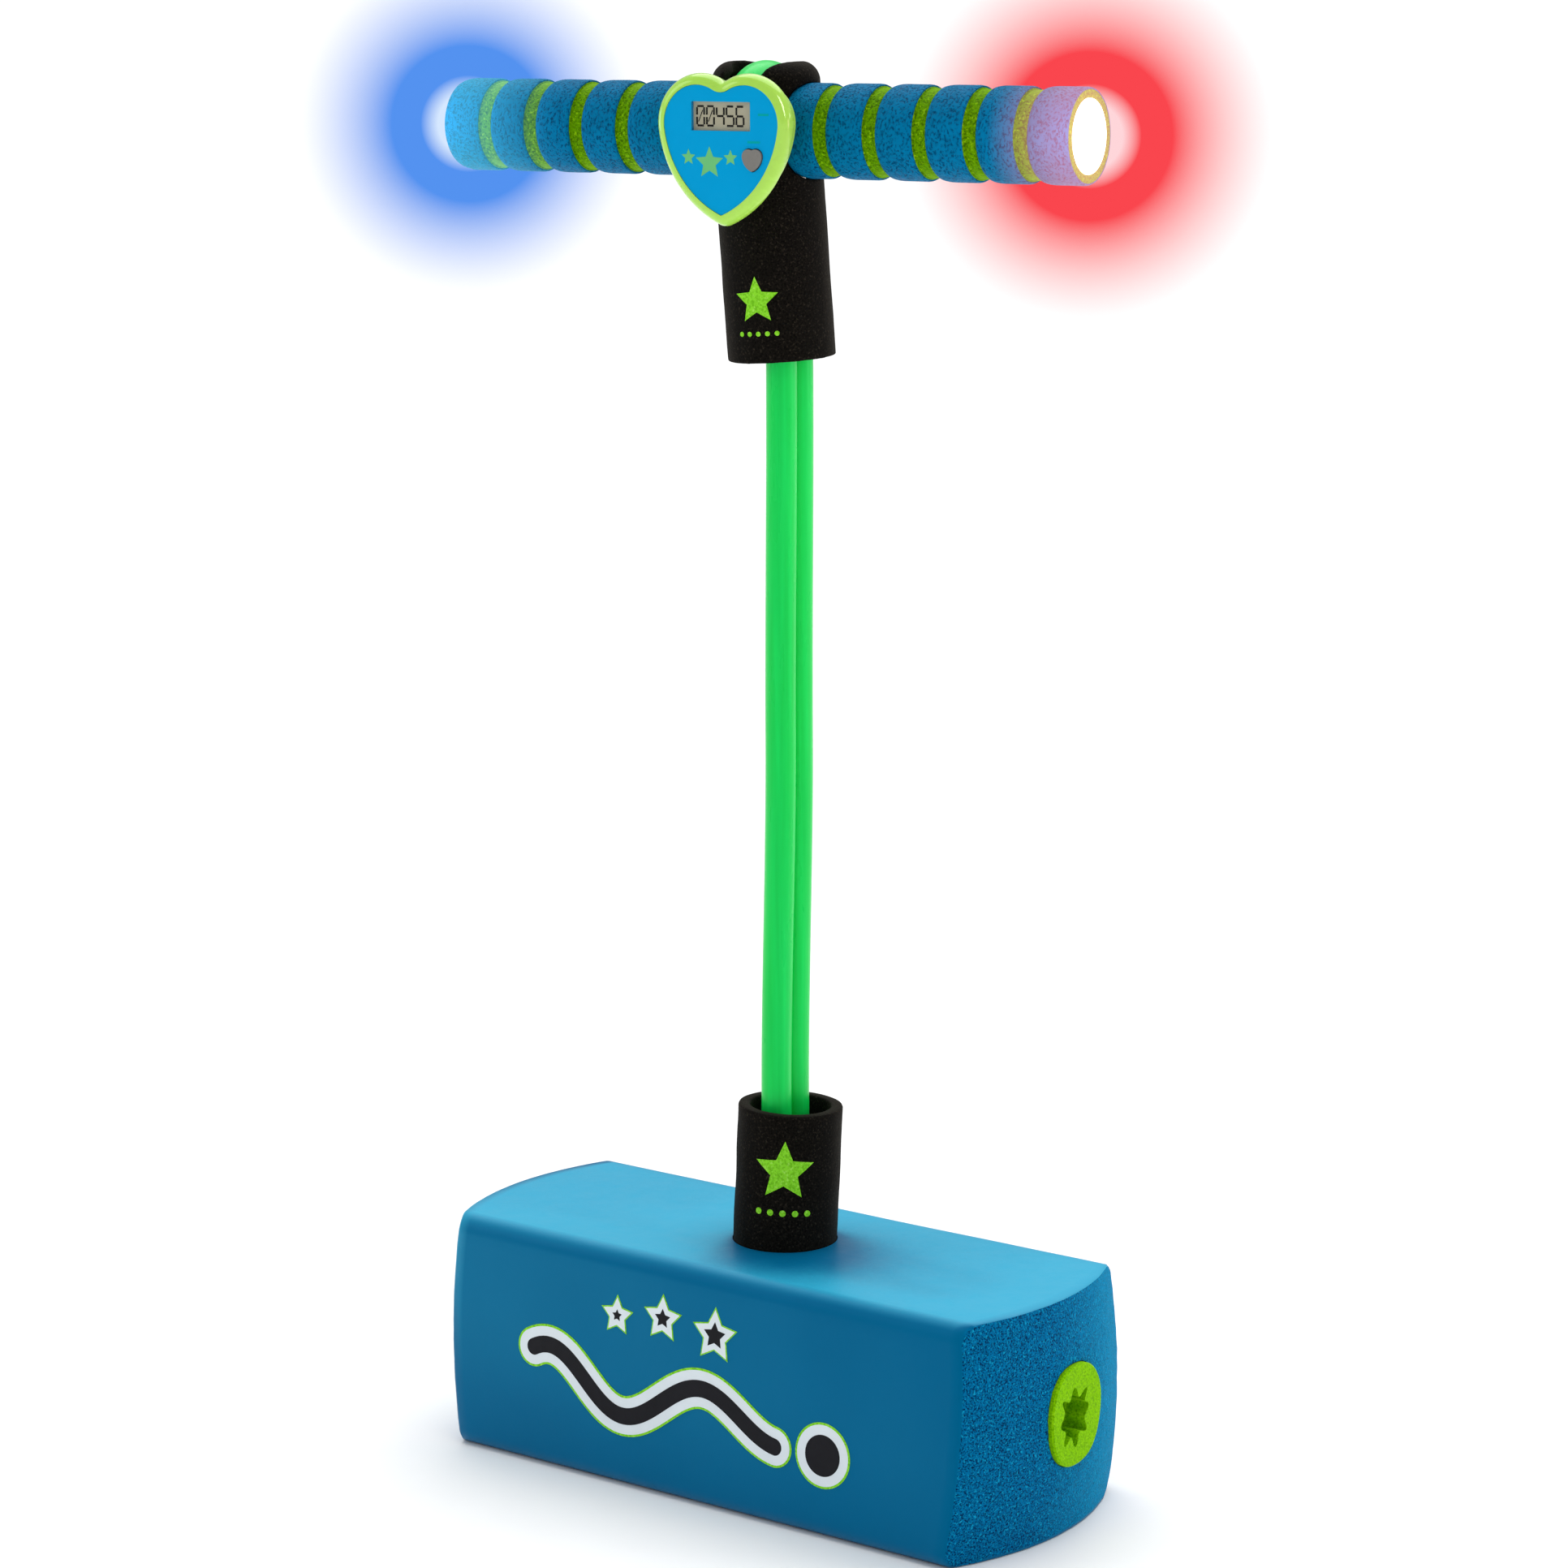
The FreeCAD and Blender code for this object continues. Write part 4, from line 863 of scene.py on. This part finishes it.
def cord():
    """The endless cord, in lengths split inside the lower sleeve."""
    low_front = list(reversed(strand(CORD_FOOT, SOCKET_SPLIT, -1)))
    low_path = low_front + half_loop(CORD_FOOT, -1) + strand(CORD_FOOT, SOCKET_SPLIT, 1)
    foot = tube_along("cord_foot_loop", low_path)
    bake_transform(foot)

    for side, label in ((-1, "front"), (1, "back")):
        bend_with_cord(tube_along(f"cord_{label}_in_sleeve", strand(SOCKET_SPLIT, SLEEVE_SPLIT, side)))

    up_front = strand(SLEEVE_SPLIT, HANDLE_CENTRE.z, -1)
    down_back = list(reversed(strand(SLEEVE_SPLIT, HANDLE_CENTRE.z, 1)))
    top = tube_along("cord_top_loop", up_front + half_loop(HANDLE_CENTRE.z, 1) + down_back)
    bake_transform(top)
    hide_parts("bungee_loop")


# ---- sleeves ----

SLEEVE_RADIUS = 20.8 * MM
SLEEVE_BORE = 16 * MM
LOWER_LEAN = 2.6
UPPER_LEAN = -3.6
UPPER_HEADING = LEAN_HEADING - HANDLE_TURN
LOWER_SHIFT = 2.6 * MM
LOWER_SLEEVE = Matrix.Translation(LEAN * LOWER_SHIFT + UP * BASE_HEIGHT) @ leaning(LOWER_LEAN)
LOWER_BOTTOM = -24 * MM
LOWER_TOP = 55.5 * MM
RIM = 0.9 * MM
UPPER_SLEEVE = HANDLE @ leaning(UPPER_LEAN, UPPER_HEADING)
UPPER_LENGTH = 87 * MM
EAR_HEIGHT = 26 * MM
EAR_CURL = 8 * MM
EAR_CORNER = 6 * MM
NOTCH_HALF_WIDTH = 8.3 * MM
NOTCH_FOOT = -19 * MM
NOTCH_TOP = 60 * MM
TUBE_ROOM_RADIUS = 14.2 * MM
GRIP_ROOM_RADIUS = 18.3 * MM
GRIP_ROOM_START = 16.5 * MM
CLIP_HALF_WIDTH = 14.5 * MM
CLIP_HALF_HEIGHT = 17 * MM


def round_rings(profile, place, steps=96):
    """Rings through a profile of (radius, height) points, uneven as cut foam is."""
    rings = []
    for radius, height in profile:
        ring = []
        for angle in turns(steps):
            out = Vector((cos(angle), sin(angle), 0))
            point = out * radius + UP * height
            uneven = 0.22 * MM * wobble(point, 16 * MM) + 0.06 * MM * wobble(point, 3 * MM)
            ring.append(place(point + out * uneven))
        rings.append(ring)
    return rings


def upright_line(radius, start, end, spacing=3 * MM):
    """Profile points up or down a tube's wall."""
    count = max(int(abs(end - start) / spacing), 1)
    return [(radius, start + (end - start) * step / count) for step in range(count + 1)]


def lower_sleeve():
    """The sleeve in the base: a plain foam tube with softened rims."""
    bottom, top = LOWER_BOTTOM, LOWER_TOP
    profile = upright_line(SLEEVE_RADIUS, bottom + RIM, top - RIM)
    profile += [(SLEEVE_RADIUS - 0.3 * RIM, top - 0.3 * RIM), (SLEEVE_RADIUS - RIM, top)]
    profile += [(SLEEVE_BORE + RIM, top), (SLEEVE_BORE + 0.3 * RIM, top - 0.3 * RIM)]
    profile += upright_line(SLEEVE_BORE, top - RIM, bottom + RIM)
    profile += [(SLEEVE_BORE + RIM, bottom), (SLEEVE_RADIUS - RIM, bottom)]
    rings = round_rings(profile, lambda point: LOWER_SLEEVE @ point)
    item = loft("lower_sleeve_foam", rings, closed_path=True)
    soften(item, 60)
    paint(item, BLACK_FOAM)
    enter(item, stands_for="lower_sleeve")
    bend_with_cord(item)


def upper_place(point):
    """The upper sleeve leans below the handlebar and stands upright beside it."""
    share = smooth_step((point.z + 10 * MM) / (20 * MM))
    return (UPPER_SLEEVE @ point).lerp(HANDLE @ point, share)


def upper_sleeve():
    """The sleeve under the handlebar: a notch front and back for the cord leaves two ears."""
    wall = SLEEVE_RADIUS - SLEEVE_BORE
    shoulder = EAR_HEIGHT - EAR_CURL
    mouth = SLEEVE_RADIUS - EAR_CURL
    profile = upright_line(SLEEVE_RADIUS, -UPPER_LENGTH, shoulder)
    profile += arc(mouth, shoulder, EAR_CURL, 0, 90)
    profile += arc(mouth, shoulder, EAR_CURL - wall, 90, 0)
    profile += upright_line(SLEEVE_BORE, shoulder, -UPPER_LENGTH)
    item = loft("upper_sleeve_foam", round_rings(profile, upper_place), closed_path=True)
    deep = 40 * MM
    corner_side = NOTCH_HALF_WIDTH + EAR_CORNER
    corner_foot = EAR_HEIGHT - EAR_CORNER
    notch = [(corner_side, NOTCH_TOP), (-corner_side, NOTCH_TOP)]
    notch += arc(-corner_side, corner_foot, EAR_CORNER, 90, 0)
    notch += arc(0, NOTCH_FOOT, NOTCH_HALF_WIDTH, 180, 360, 24)
    notch += arc(corner_side, corner_foot, EAR_CORNER, 180, 90)
    along_handle = HANDLE @ Matrix.Rotation(pi / 2, 4, "Z")
    grip_room = circle(GRIP_ROOM_RADIUS)
    clip_room = box_outline(-CLIP_HALF_WIDTH, CLIP_HALF_WIDTH, -CLIP_HALF_HEIGHT, CLIP_HALF_HEIGHT)
    carve(
        item,
        prism("notch_tool", notch, -deep, deep, HANDLE),
        prism("passage_tool", circle(TUBE_ROOM_RADIUS), -deep, deep, along_handle),
        prism("left_grip_tool", grip_room, -deep, -GRIP_ROOM_START, along_handle),
        prism("right_grip_tool", grip_room, GRIP_ROOM_START, deep, along_handle),
        prism("clip_tool", clip_room, -deep, 0, HANDLE),
    )
    foam_soften(item, 0.6 * MM, 4)
    paint(item, BLACK_FOAM)
    enter(item, "handle", "upper_sleeve")


# ---- grips ----

GRIP_RADIUS = 18 * MM
VALLEY_RADIUS = 16.6 * MM
SKIN_THICKNESS = 0.5 * MM
GRIP_START = 17.4 * MM
GROOVE_START = 30 * MM
GROOVE_WIDTH = 6.3 * MM
GROOVE_PITCH = 21.1 * MM
GROOVES = 5
TUBE_RADIUS = 14.1 * MM
SHOULDER = 5 * MM
SHOULDER_FOOT = 0.7 * MM


def ring_spans():
    """Where each coloured ring starts and ends, from the handlebar's middle outwards."""
    starts = [GRIP_START] + [GROOVE_START + GROOVE_WIDTH + GROOVE_PITCH * n for n in range(GROOVES)]
    ends = [GROOVE_START + GROOVE_PITCH * n for n in range(GROOVES)] + [GRIP_END]
    return list(zip(starts, ends))


def ring_surface(left, right, drop, shoulder):
    """A ring's outer line: a rounded left shoulder, a flat crown and a crisp right edge."""
    points = []
    left -= SHOULDER_FOOT
    for step in range(8):
        share = 1 - step / 7
        fall = drop * (1 - sqrt(1 - share**2))
        points.append((left + shoulder * (1 - share), GRIP_RADIUS - fall))
    points.append(((left + shoulder + right) / 2, GRIP_RADIUS))
    points.append((right - 1.5 * MM, GRIP_RADIUS))
    points.append((right - 0.5 * MM, GRIP_RADIUS - 0.12 * MM))
    points.append((right, GRIP_RADIUS - 0.35 * MM))
    return points


def grip(label, sign):
    """One side's grip: thin blue rings over a lime core that shows in the grooves and the end."""
    spans = ring_spans()
    if sign < 0:
        spans = [(-end, -start) for start, end in reversed(spans)]
    core_line = []
    for number, (left, right) in enumerate(spans):
        outer_end = left <= -GRIP_END + MM
        drop = GRIP_RADIUS - VALLEY_RADIUS - 0.25 * MM
        shoulder = SHOULDER + (1.5 * MM if outer_end else 0)
        surface = ring_surface(left, right, drop + (1.2 * MM if outer_end else 0), shoulder)
        under = [(along, radius - SKIN_THICKNESS) for along, radius in surface]
        skin = surface + list(reversed(under))
        ring = revolve(f"{label}_ring_{number + 1}", skin, HANDLE, roughness=0.06 * MM)
        paint(ring, GRIP_SKIN)
        enter(ring, "handle", None if number else f"{label}_grip_rings")
        clearance = 0.03 * MM
        core_line += [(along, radius - clearance) for along, radius in under]
        if number < len(spans) - 1:
            core_line.append((right + 0.5 * MM, VALLEY_RADIUS))
            core_line.append((spans[number + 1][0] - SHOULDER_FOOT - 0.3 * MM, VALLEY_RADIUS))
    inner = [(core_line[-1][0], TUBE_RADIUS), (core_line[0][0], TUBE_RADIUS)]
    middle_part = revolve(f"{label}_grip_foam", core_line + inner, HANDLE, roughness=0.05 * MM)
    paint(middle_part, SHADED_LIME_GROOVE)
    enter(middle_part, "handle", f"{label}_grip_core")


def light_lenses():
    """The lit caps in the handlebar's ends."""
    for label, centre, colour in (
        ("left", LEFT_LENS, (0.45, 0.66, 1.0, 1)),
        ("right", RIGHT_LENS, (1.0, 0.72, 0.72, 1)),
    ):
        look = lit_lens(f"{label}_lens_lit", centre, colour, 6.0, 2.2)
        paint(frame["nodes"][f"{label}_light_lens"], look)


# ---- counter ----


def front_of(node):
    """How far forward of the handlebar's axis a node's front face is."""
    inverse = HANDLE.inverted()
    return max(-(inverse @ vertex.co).y for vertex in frame["nodes"][node].data.vertices)


def flat_place(base, forward):
    """Maps a mark's (across, up, lift) onto an upright face in front of the handlebar's axis."""

    def place(across, up, lift):
        return base @ Vector((across, -(forward + lift), up))

    return place


def round_place(base, heading, radius):
    """Maps a mark's (across, up, lift) onto a round sleeve, centred on a heading."""

    def place(across, up, lift):
        angle = radians(heading) + across / radius
        reach = radius + lift
        return base @ Vector((reach * cos(angle), reach * sin(angle), up))

    return place


def mark(name, outlines, place, look, thickness=0.12 * MM, sink=0.1 * MM):
    """Flat outlines laid on a surface as a thin layer of print."""
    work = bmesh.new()
    for outline in outlines:
        work.faces.new([work.verts.new((x, y, 0)) for x, y in outline])
    work.normal_update()
    bmesh.ops.triangulate(work, faces=work.faces, ngon_method="EAR_CLIP")
    left = min(vertex.co.x for vertex in work.verts)
    right = max(vertex.co.x for vertex in work.verts)
    spacing = 2 * MM
    for step in range(1, int((right - left) / spacing) + 1):
        parts = work.verts[:] + work.edges[:] + work.faces[:]
        plane = Vector((left + step * spacing, 0, 0))
        bmesh.ops.bisect_plane(work, geom=parts, dist=1e-7, plane_co=plane, plane_no=(1, 0, 0))
    flat = work.faces[:]
    raised = bmesh.ops.extrude_face_region(work, geom=flat)["geom"]
    for part in raised:
        if isinstance(part, bmesh.types.BMVert):
            part.co.z = thickness
    for vertex in work.verts:
        x, y, lift = vertex.co
        vertex.co = place(x, y, lift - (sink if lift < thickness / 2 else 0))
    bmesh.ops.recalc_face_normals(work, faces=work.faces)
    item = from_work_mesh(name, work)
    soften(item, 30)
    paint(item, look)
    return item


def rectangle(x, y, width, height):
    """An oblong round its middle."""
    return box_outline(x - width / 2, x + width / 2, y - height / 2, y + height / 2)


# A seven-segment digit, its segments lettered a to g in the usual way. Each has its middle in
# half-widths and half-heights, and if it is upright.
SEGMENTS = {
    "a": (0, 1, False),
    "b": (1, 0.5, True),
    "c": (1, -0.5, True),
    "d": (0, -1, False),
    "e": (-1, -0.5, True),
    "f": (-1, 0.5, True),
    "g": (0, 0, False),
}
DIGITS = {"0": "adfbec", "4": "gfbc", "5": "agdfc", "6": "agdfec"}
WINDOW_UP = 6.4 * MM


def display_digits(text):
    """The display's digits, lying on the panel under the window."""
    half_width, half_height, stroke, pitch = 1.56 * MM, 3.6 * MM, 0.8 * MM, 4.3 * MM
    slash, shift = 0.22 * MM, 1.1 * MM
    outlines = []
    for number, character in enumerate(text):
        x = (number - (len(text) - 1) / 2) * pitch - shift
        for segment in DIGITS[character]:
            across, up, upright = SEGMENTS[segment]
            centre = (x + across * half_width, WINDOW_UP + up * half_height)
            if upright:
                outlines.append(rectangle(*centre, stroke, half_height - stroke))
            else:
                outlines.append(rectangle(*centre, 2 * half_width - stroke * 0.4, stroke))
        if character == "0":
            lean, rise = half_width * 0.6, half_height * 0.6
            ends = ((-1, -1), (-1, 1), (1, 1), (1, -1))
            outlines.append([(x + end * lean + edge * slash, WINDOW_UP + end * rise) for end, edge in ends])
    panel = front_of("lcd_panel")
    item = mark("display_digits", outlines, flat_place(HANDLE, panel), DARK_PRINT, 0.03 * MM, 0.0)
    enter(item, "handle")


def star(x, y, reach, points=5, depth=0.46):
    """A plain star."""
    outline = []
    for step in range(2 * points):
        angle = radians(90) + pi * step / points
        radius = reach if step % 2 == 0 else reach * depth
        outline.append((x + radius * cos(angle), y + radius * sin(angle)))
    return outline


def counter_marks():
    """Plain print on the counter's face: three stars and two dashes."""
    face = front_of("counter_face")
    stars = [
        star(x * MM, y * MM, reach * MM)
        for x, y, reach in ((-14.2, -9, 3.1), (-5, -11, 6.2), (4.2, -9, 3.1))
    ]
    dashes = [
        rectangle(x * MM, y * MM, length * MM, 0.8 * MM)
        for x, y, length in ((18.6, 7.2, 4.6), (14.4, -3, 5.4))
    ]
    for name, outlines, look in (("counter_stars", stars, PALE_PRINT), ("counter_dashes", dashes, DIM_PRINT)):
        item = mark(name, outlines, flat_place(HANDLE, face), look, 0.05 * MM, 0.0)
        enter(item, "handle")


def counter_button():
    """Softens the button's rim."""
    bevel = frame["nodes"]["counter_button"].modifiers.new("soft_rim", "BEVEL")
    bevel.width = 0.7 * MM
    bevel.segments = 4
    bevel.limit_method = "ANGLE"


# ---- printed marks on the foam ----


def sleeve_marks():
    """The same plain star on both sleeves, with a row of dots under it."""
    big = [star(0, 4 * MM, 12.5 * MM)]
    dots = [circle(1.3 * MM, 12, x * MM, -13 * MM) for x in (-10, -5, 0, 5, 10)]
    low = [[(x, y + 29 * MM) for x, y in outline] for outline in big + dots]
    place = round_place(LOWER_SLEEVE, -58, SLEEVE_RADIUS + 0.16 * MM)
    item = mark("lower_sleeve_print", low, place, LIME_PRINT)
    enter(item)
    bend_with_cord(item)

    high = [[(x * 0.74, y * 0.74 - 66 * MM) for x, y in outline] for outline in big + dots]
    place = round_place(UPPER_SLEEVE, -83, SLEEVE_RADIUS + 0.12 * MM)
    enter(mark("upper_sleeve_print", high, place, LIME_PRINT), "handle")


def stroke_outline(x_low, x_high, curve, width, steps=70):
    """The outline of a stroke along a curve y = curve(x), with round ends."""
    upper, lower, tilts = [], [], []
    for step in range(steps + 1):
        x = x_low + (x_high - x_low) * step / steps
        slope = (curve(x + 0.1 * MM) - curve(x - 0.1 * MM)) / (0.2 * MM)
        tilt = atan(slope)
        upper.append((x - width * sin(tilt), curve(x) + width * cos(tilt)))
        lower.append((x + width * sin(tilt), curve(x) - width * cos(tilt)))
        tilts.append(degrees(tilt))
    far_end = arc(x_high, curve(x_high), width, tilts[-1] + 82, tilts[-1] - 82, 14)
    near_end = arc(x_low, curve(x_low), width, tilts[0] + 262, tilts[0] + 98, 14)
    return upper + far_end + list(reversed(lower)) + near_end


def front_place(across, up, lift):
    """Maps a mark onto the base's sloping front, up from the underside."""
    slope = atan2(BASE_HALF_WIDTH - BASE_TOP_HALF_WIDTH, BASE_HEIGHT)
    y = -(BASE_HALF_WIDTH - up * tan(slope)) - (lift + 0.12 * MM)
    skin = section_point(across, y, up)
    return Vector((across, skin.y, up))


def front_mark():
    """A plain picture on the base's front: a bouncing path, a ball at its end and three stars."""
    wave_length, height, start, end = 78 * MM, 12 * MM, -82 * MM, 40 * MM

    def bounce(x):
        fade = exp(-(x - start) / (260 * MM))
        return 39 * MM + height * fade * sin(FULL_TURN * (x - start) / wave_length + 0.9)

    widest = 8.2
    layers = (
        ("lime", widest, LIME_PRINT, 0.04),
        ("white", 7.3, WHITE_PRINT, 0.10),
        ("black", 3.4, BLACK_PRINT, 0.16),
    )
    for label, width, look, thickness in layers:
        inset = widest - width
        outlines = [stroke_outline(start, end, bounce, width * MM)]
        outlines.append(circle((13 - inset) * MM, 48, 63 * MM, 33 * MM))
        for x, y, reach in ((-40, 69, 8.5), (-17, 72, 10), (9, 70, 11.5)):
            outlines.append(star(x * MM, y * MM, (reach - 1.25 * inset) * MM, 5, 0.52))
        item = mark(f"front_print_{label}", outlines, front_place, look, thickness * MM, 0.4 * MM)
        enter(item, "base")


# ---- studio ----

CAMERA_PLACE = Vector((1.0053, -1.3360, 0.6089))
CAMERA_YAW = 36.85
CAMERA_PITCH = 11.13
CAMERA_ROLL = -0.35
CAMERA_LENS = 99.74


def camera():
    """The camera at the photograph's angle."""
    data = bpy.data.cameras.new("camera")
    data.lens = CAMERA_LENS
    data.sensor_width = 36
    item = add_object("camera", data)
    turn = Matrix.Rotation(radians(CAMERA_YAW), 4, "Z")
    tilt = Matrix.Rotation(radians(90 - CAMERA_PITCH), 4, "X")
    roll = Matrix.Rotation(radians(CAMERA_ROLL), 4, "Z")
    item.matrix_world = Matrix.Translation(CAMERA_PLACE) @ turn @ tilt @ roll
    SCENE.camera = item


def softbox(name, place, target, width, height, power):
    """An oblong light that shines at a target."""
    data = bpy.data.lights.new(name, "AREA")
    data.shape = "ELLIPSE"
    data.size = width
    data.size_y = height
    data.energy = power
    item = add_object(name, data)
    item.location = place
    item.rotation_euler = (Vector(target) - Vector(place)).to_track_quat("-Z", "Y").to_euler()
    return item


def lens_spill(name, place, colour, power):
    """The coloured light that a lit end throws on the grip beside it."""
    data = bpy.data.lights.new(name, "POINT")
    data.energy = power
    data.color = colour
    data.shadow_soft_size = 20 * MM
    add_object(name, data).location = place


SURROUND_LIGHT = 0.5
# The floor reaches so far that its edge stays out of the picture.
FLOOR_HALF = 60.0


def studio():
    """A pale floor, a white surround and soft lights."""
    floor = add_object("floor", bpy.data.meshes.new("floor"))
    corners = box_outline(-FLOOR_HALF, FLOOR_HALF, -FLOOR_HALF, FLOOR_HALF)
    floor.data.from_pydata([(x, y, 0) for x, y in corners], [], [(0, 1, 2, 3)])
    look = Finish("floor_paper", 0.1, Roughness=0.9)
    look.colour(look.mixed(look.grain(0.02, 4), (0.93, 0.93, 0.93, 1), (0.95, 0.95, 0.95, 1)))
    look.bumps((look.grain(0.001, 3), 0.02 * MM))
    paint(floor, look.material)

    world = bpy.data.worlds.new("surround")
    world.use_nodes = True
    nodes, links = world.node_tree.nodes, world.node_tree.links
    background = nodes["Background"]
    rays = nodes.new("ShaderNodeLightPath")
    seen = nodes.new("ShaderNodeMapRange")
    seen.inputs["To Min"].default_value = SURROUND_LIGHT
    seen.inputs["To Max"].default_value = 1.0
    links.new(rays.outputs["Is Camera Ray"], seen.inputs["Value"])
    links.new(seen.outputs[0], background.inputs["Strength"])
    background.inputs["Color"].default_value = (1, 1, 1, 1)
    SCENE.world = world

    ceiling = bpy.data.lights.new("ceiling", "SUN")
    ceiling.energy = 2.3
    ceiling.angle = radians(70)
    item = add_object("ceiling", ceiling)
    item.rotation_euler = (radians(-18), radians(-8), 0)
    softbox("left_front", (-1.4, -1.3, 1.2), (0, 0, 0.3), 1.0, 1.0, 5)
    softbox("right_back", (1.6, 0.9, 0.7), (0, 0, 0.2), 0.8, 0.8, 7)
    shine_place = HANDLE_CENTRE + Vector((1.1, -0.58, 0.74))
    shine = softbox("counter_shine", shine_place, HANDLE_CENTRE, 0.34, 1.1, 12)
    shine.visible_diffuse = False
    SCENE.view_settings.view_transform = "Standard"


HALO_RADIUS = 76 * MM


def halo(name, centre, ring, middle):
    """The haze of light round a lit end, seen only behind the grip: a ball that shows its far side."""
    look = Finish(name)
    facing = look.maths("SUBTRACT", 1.0, look.edge_on())
    reach = look.maths("SQRT", look.maths("SUBTRACT", 1.0, look.maths("MULTIPLY", facing, facing)))
    tint = look.mixed(look.limits(reach, 0.16, 0.25), middle, ring)
    share = look.maths("POWER", look.limits(reach, 0.4, 0.95, 1.0, 0.0), 1.25)
    far_side = look.add("NewGeometry").outputs["Backfacing"]
    seen = look.maths("MULTIPLY", far_side, look.add("LightPath").outputs["Is Camera Ray"])
    haze = look.add("Emission", Color=tint, Strength=1.0)
    blend = look.add("MixShader", Fac=look.maths("MULTIPLY", share, seen))
    clear = look.add("BsdfTransparent")
    look.feed(blend.inputs[1], clear.outputs[0])
    look.feed(blend.inputs[2], haze.outputs[0])
    look.feed(look.tree.nodes["Material Output"].inputs["Surface"], blend.outputs[0])
    work = bmesh.new()
    bmesh.ops.create_icosphere(work, subdivisions=6, radius=HALO_RADIUS)
    item = from_work_mesh(name, work)
    item.data.transform(Matrix.Translation(centre))
    item.data.shade_smooth()
    paint(item, look.material)
    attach(item, "handle")


def lit_ends():
    """The lit ends colour the grips beside them and the air behind them."""
    halo("blue_halo", LEFT_LENS, screen(84, 146, 240), screen(214, 232, 255))
    halo("red_halo", RIGHT_LENS, screen(250, 70, 78), screen(255, 214, 218))
    lens_spill("blue_spill", HANDLE @ Vector((-150 * MM, -42 * MM, 5 * MM)), (0.3, 0.6, 1.0), 0.06)
    lens_spill("red_spill", HANDLE @ Vector((152 * MM, -42 * MM, 5 * MM)), (1.0, 0.5, 0.62), 0.08)


dress_cad_nodes()
foam_base()
core()
cord()
lower_sleeve()
upper_sleeve()
grip("left", -1)
grip("right", 1)
light_lenses()
display_digits("00456")
counter_marks()
counter_button()
sleeve_marks()
front_mark()
camera()
studio()
lit_ends()
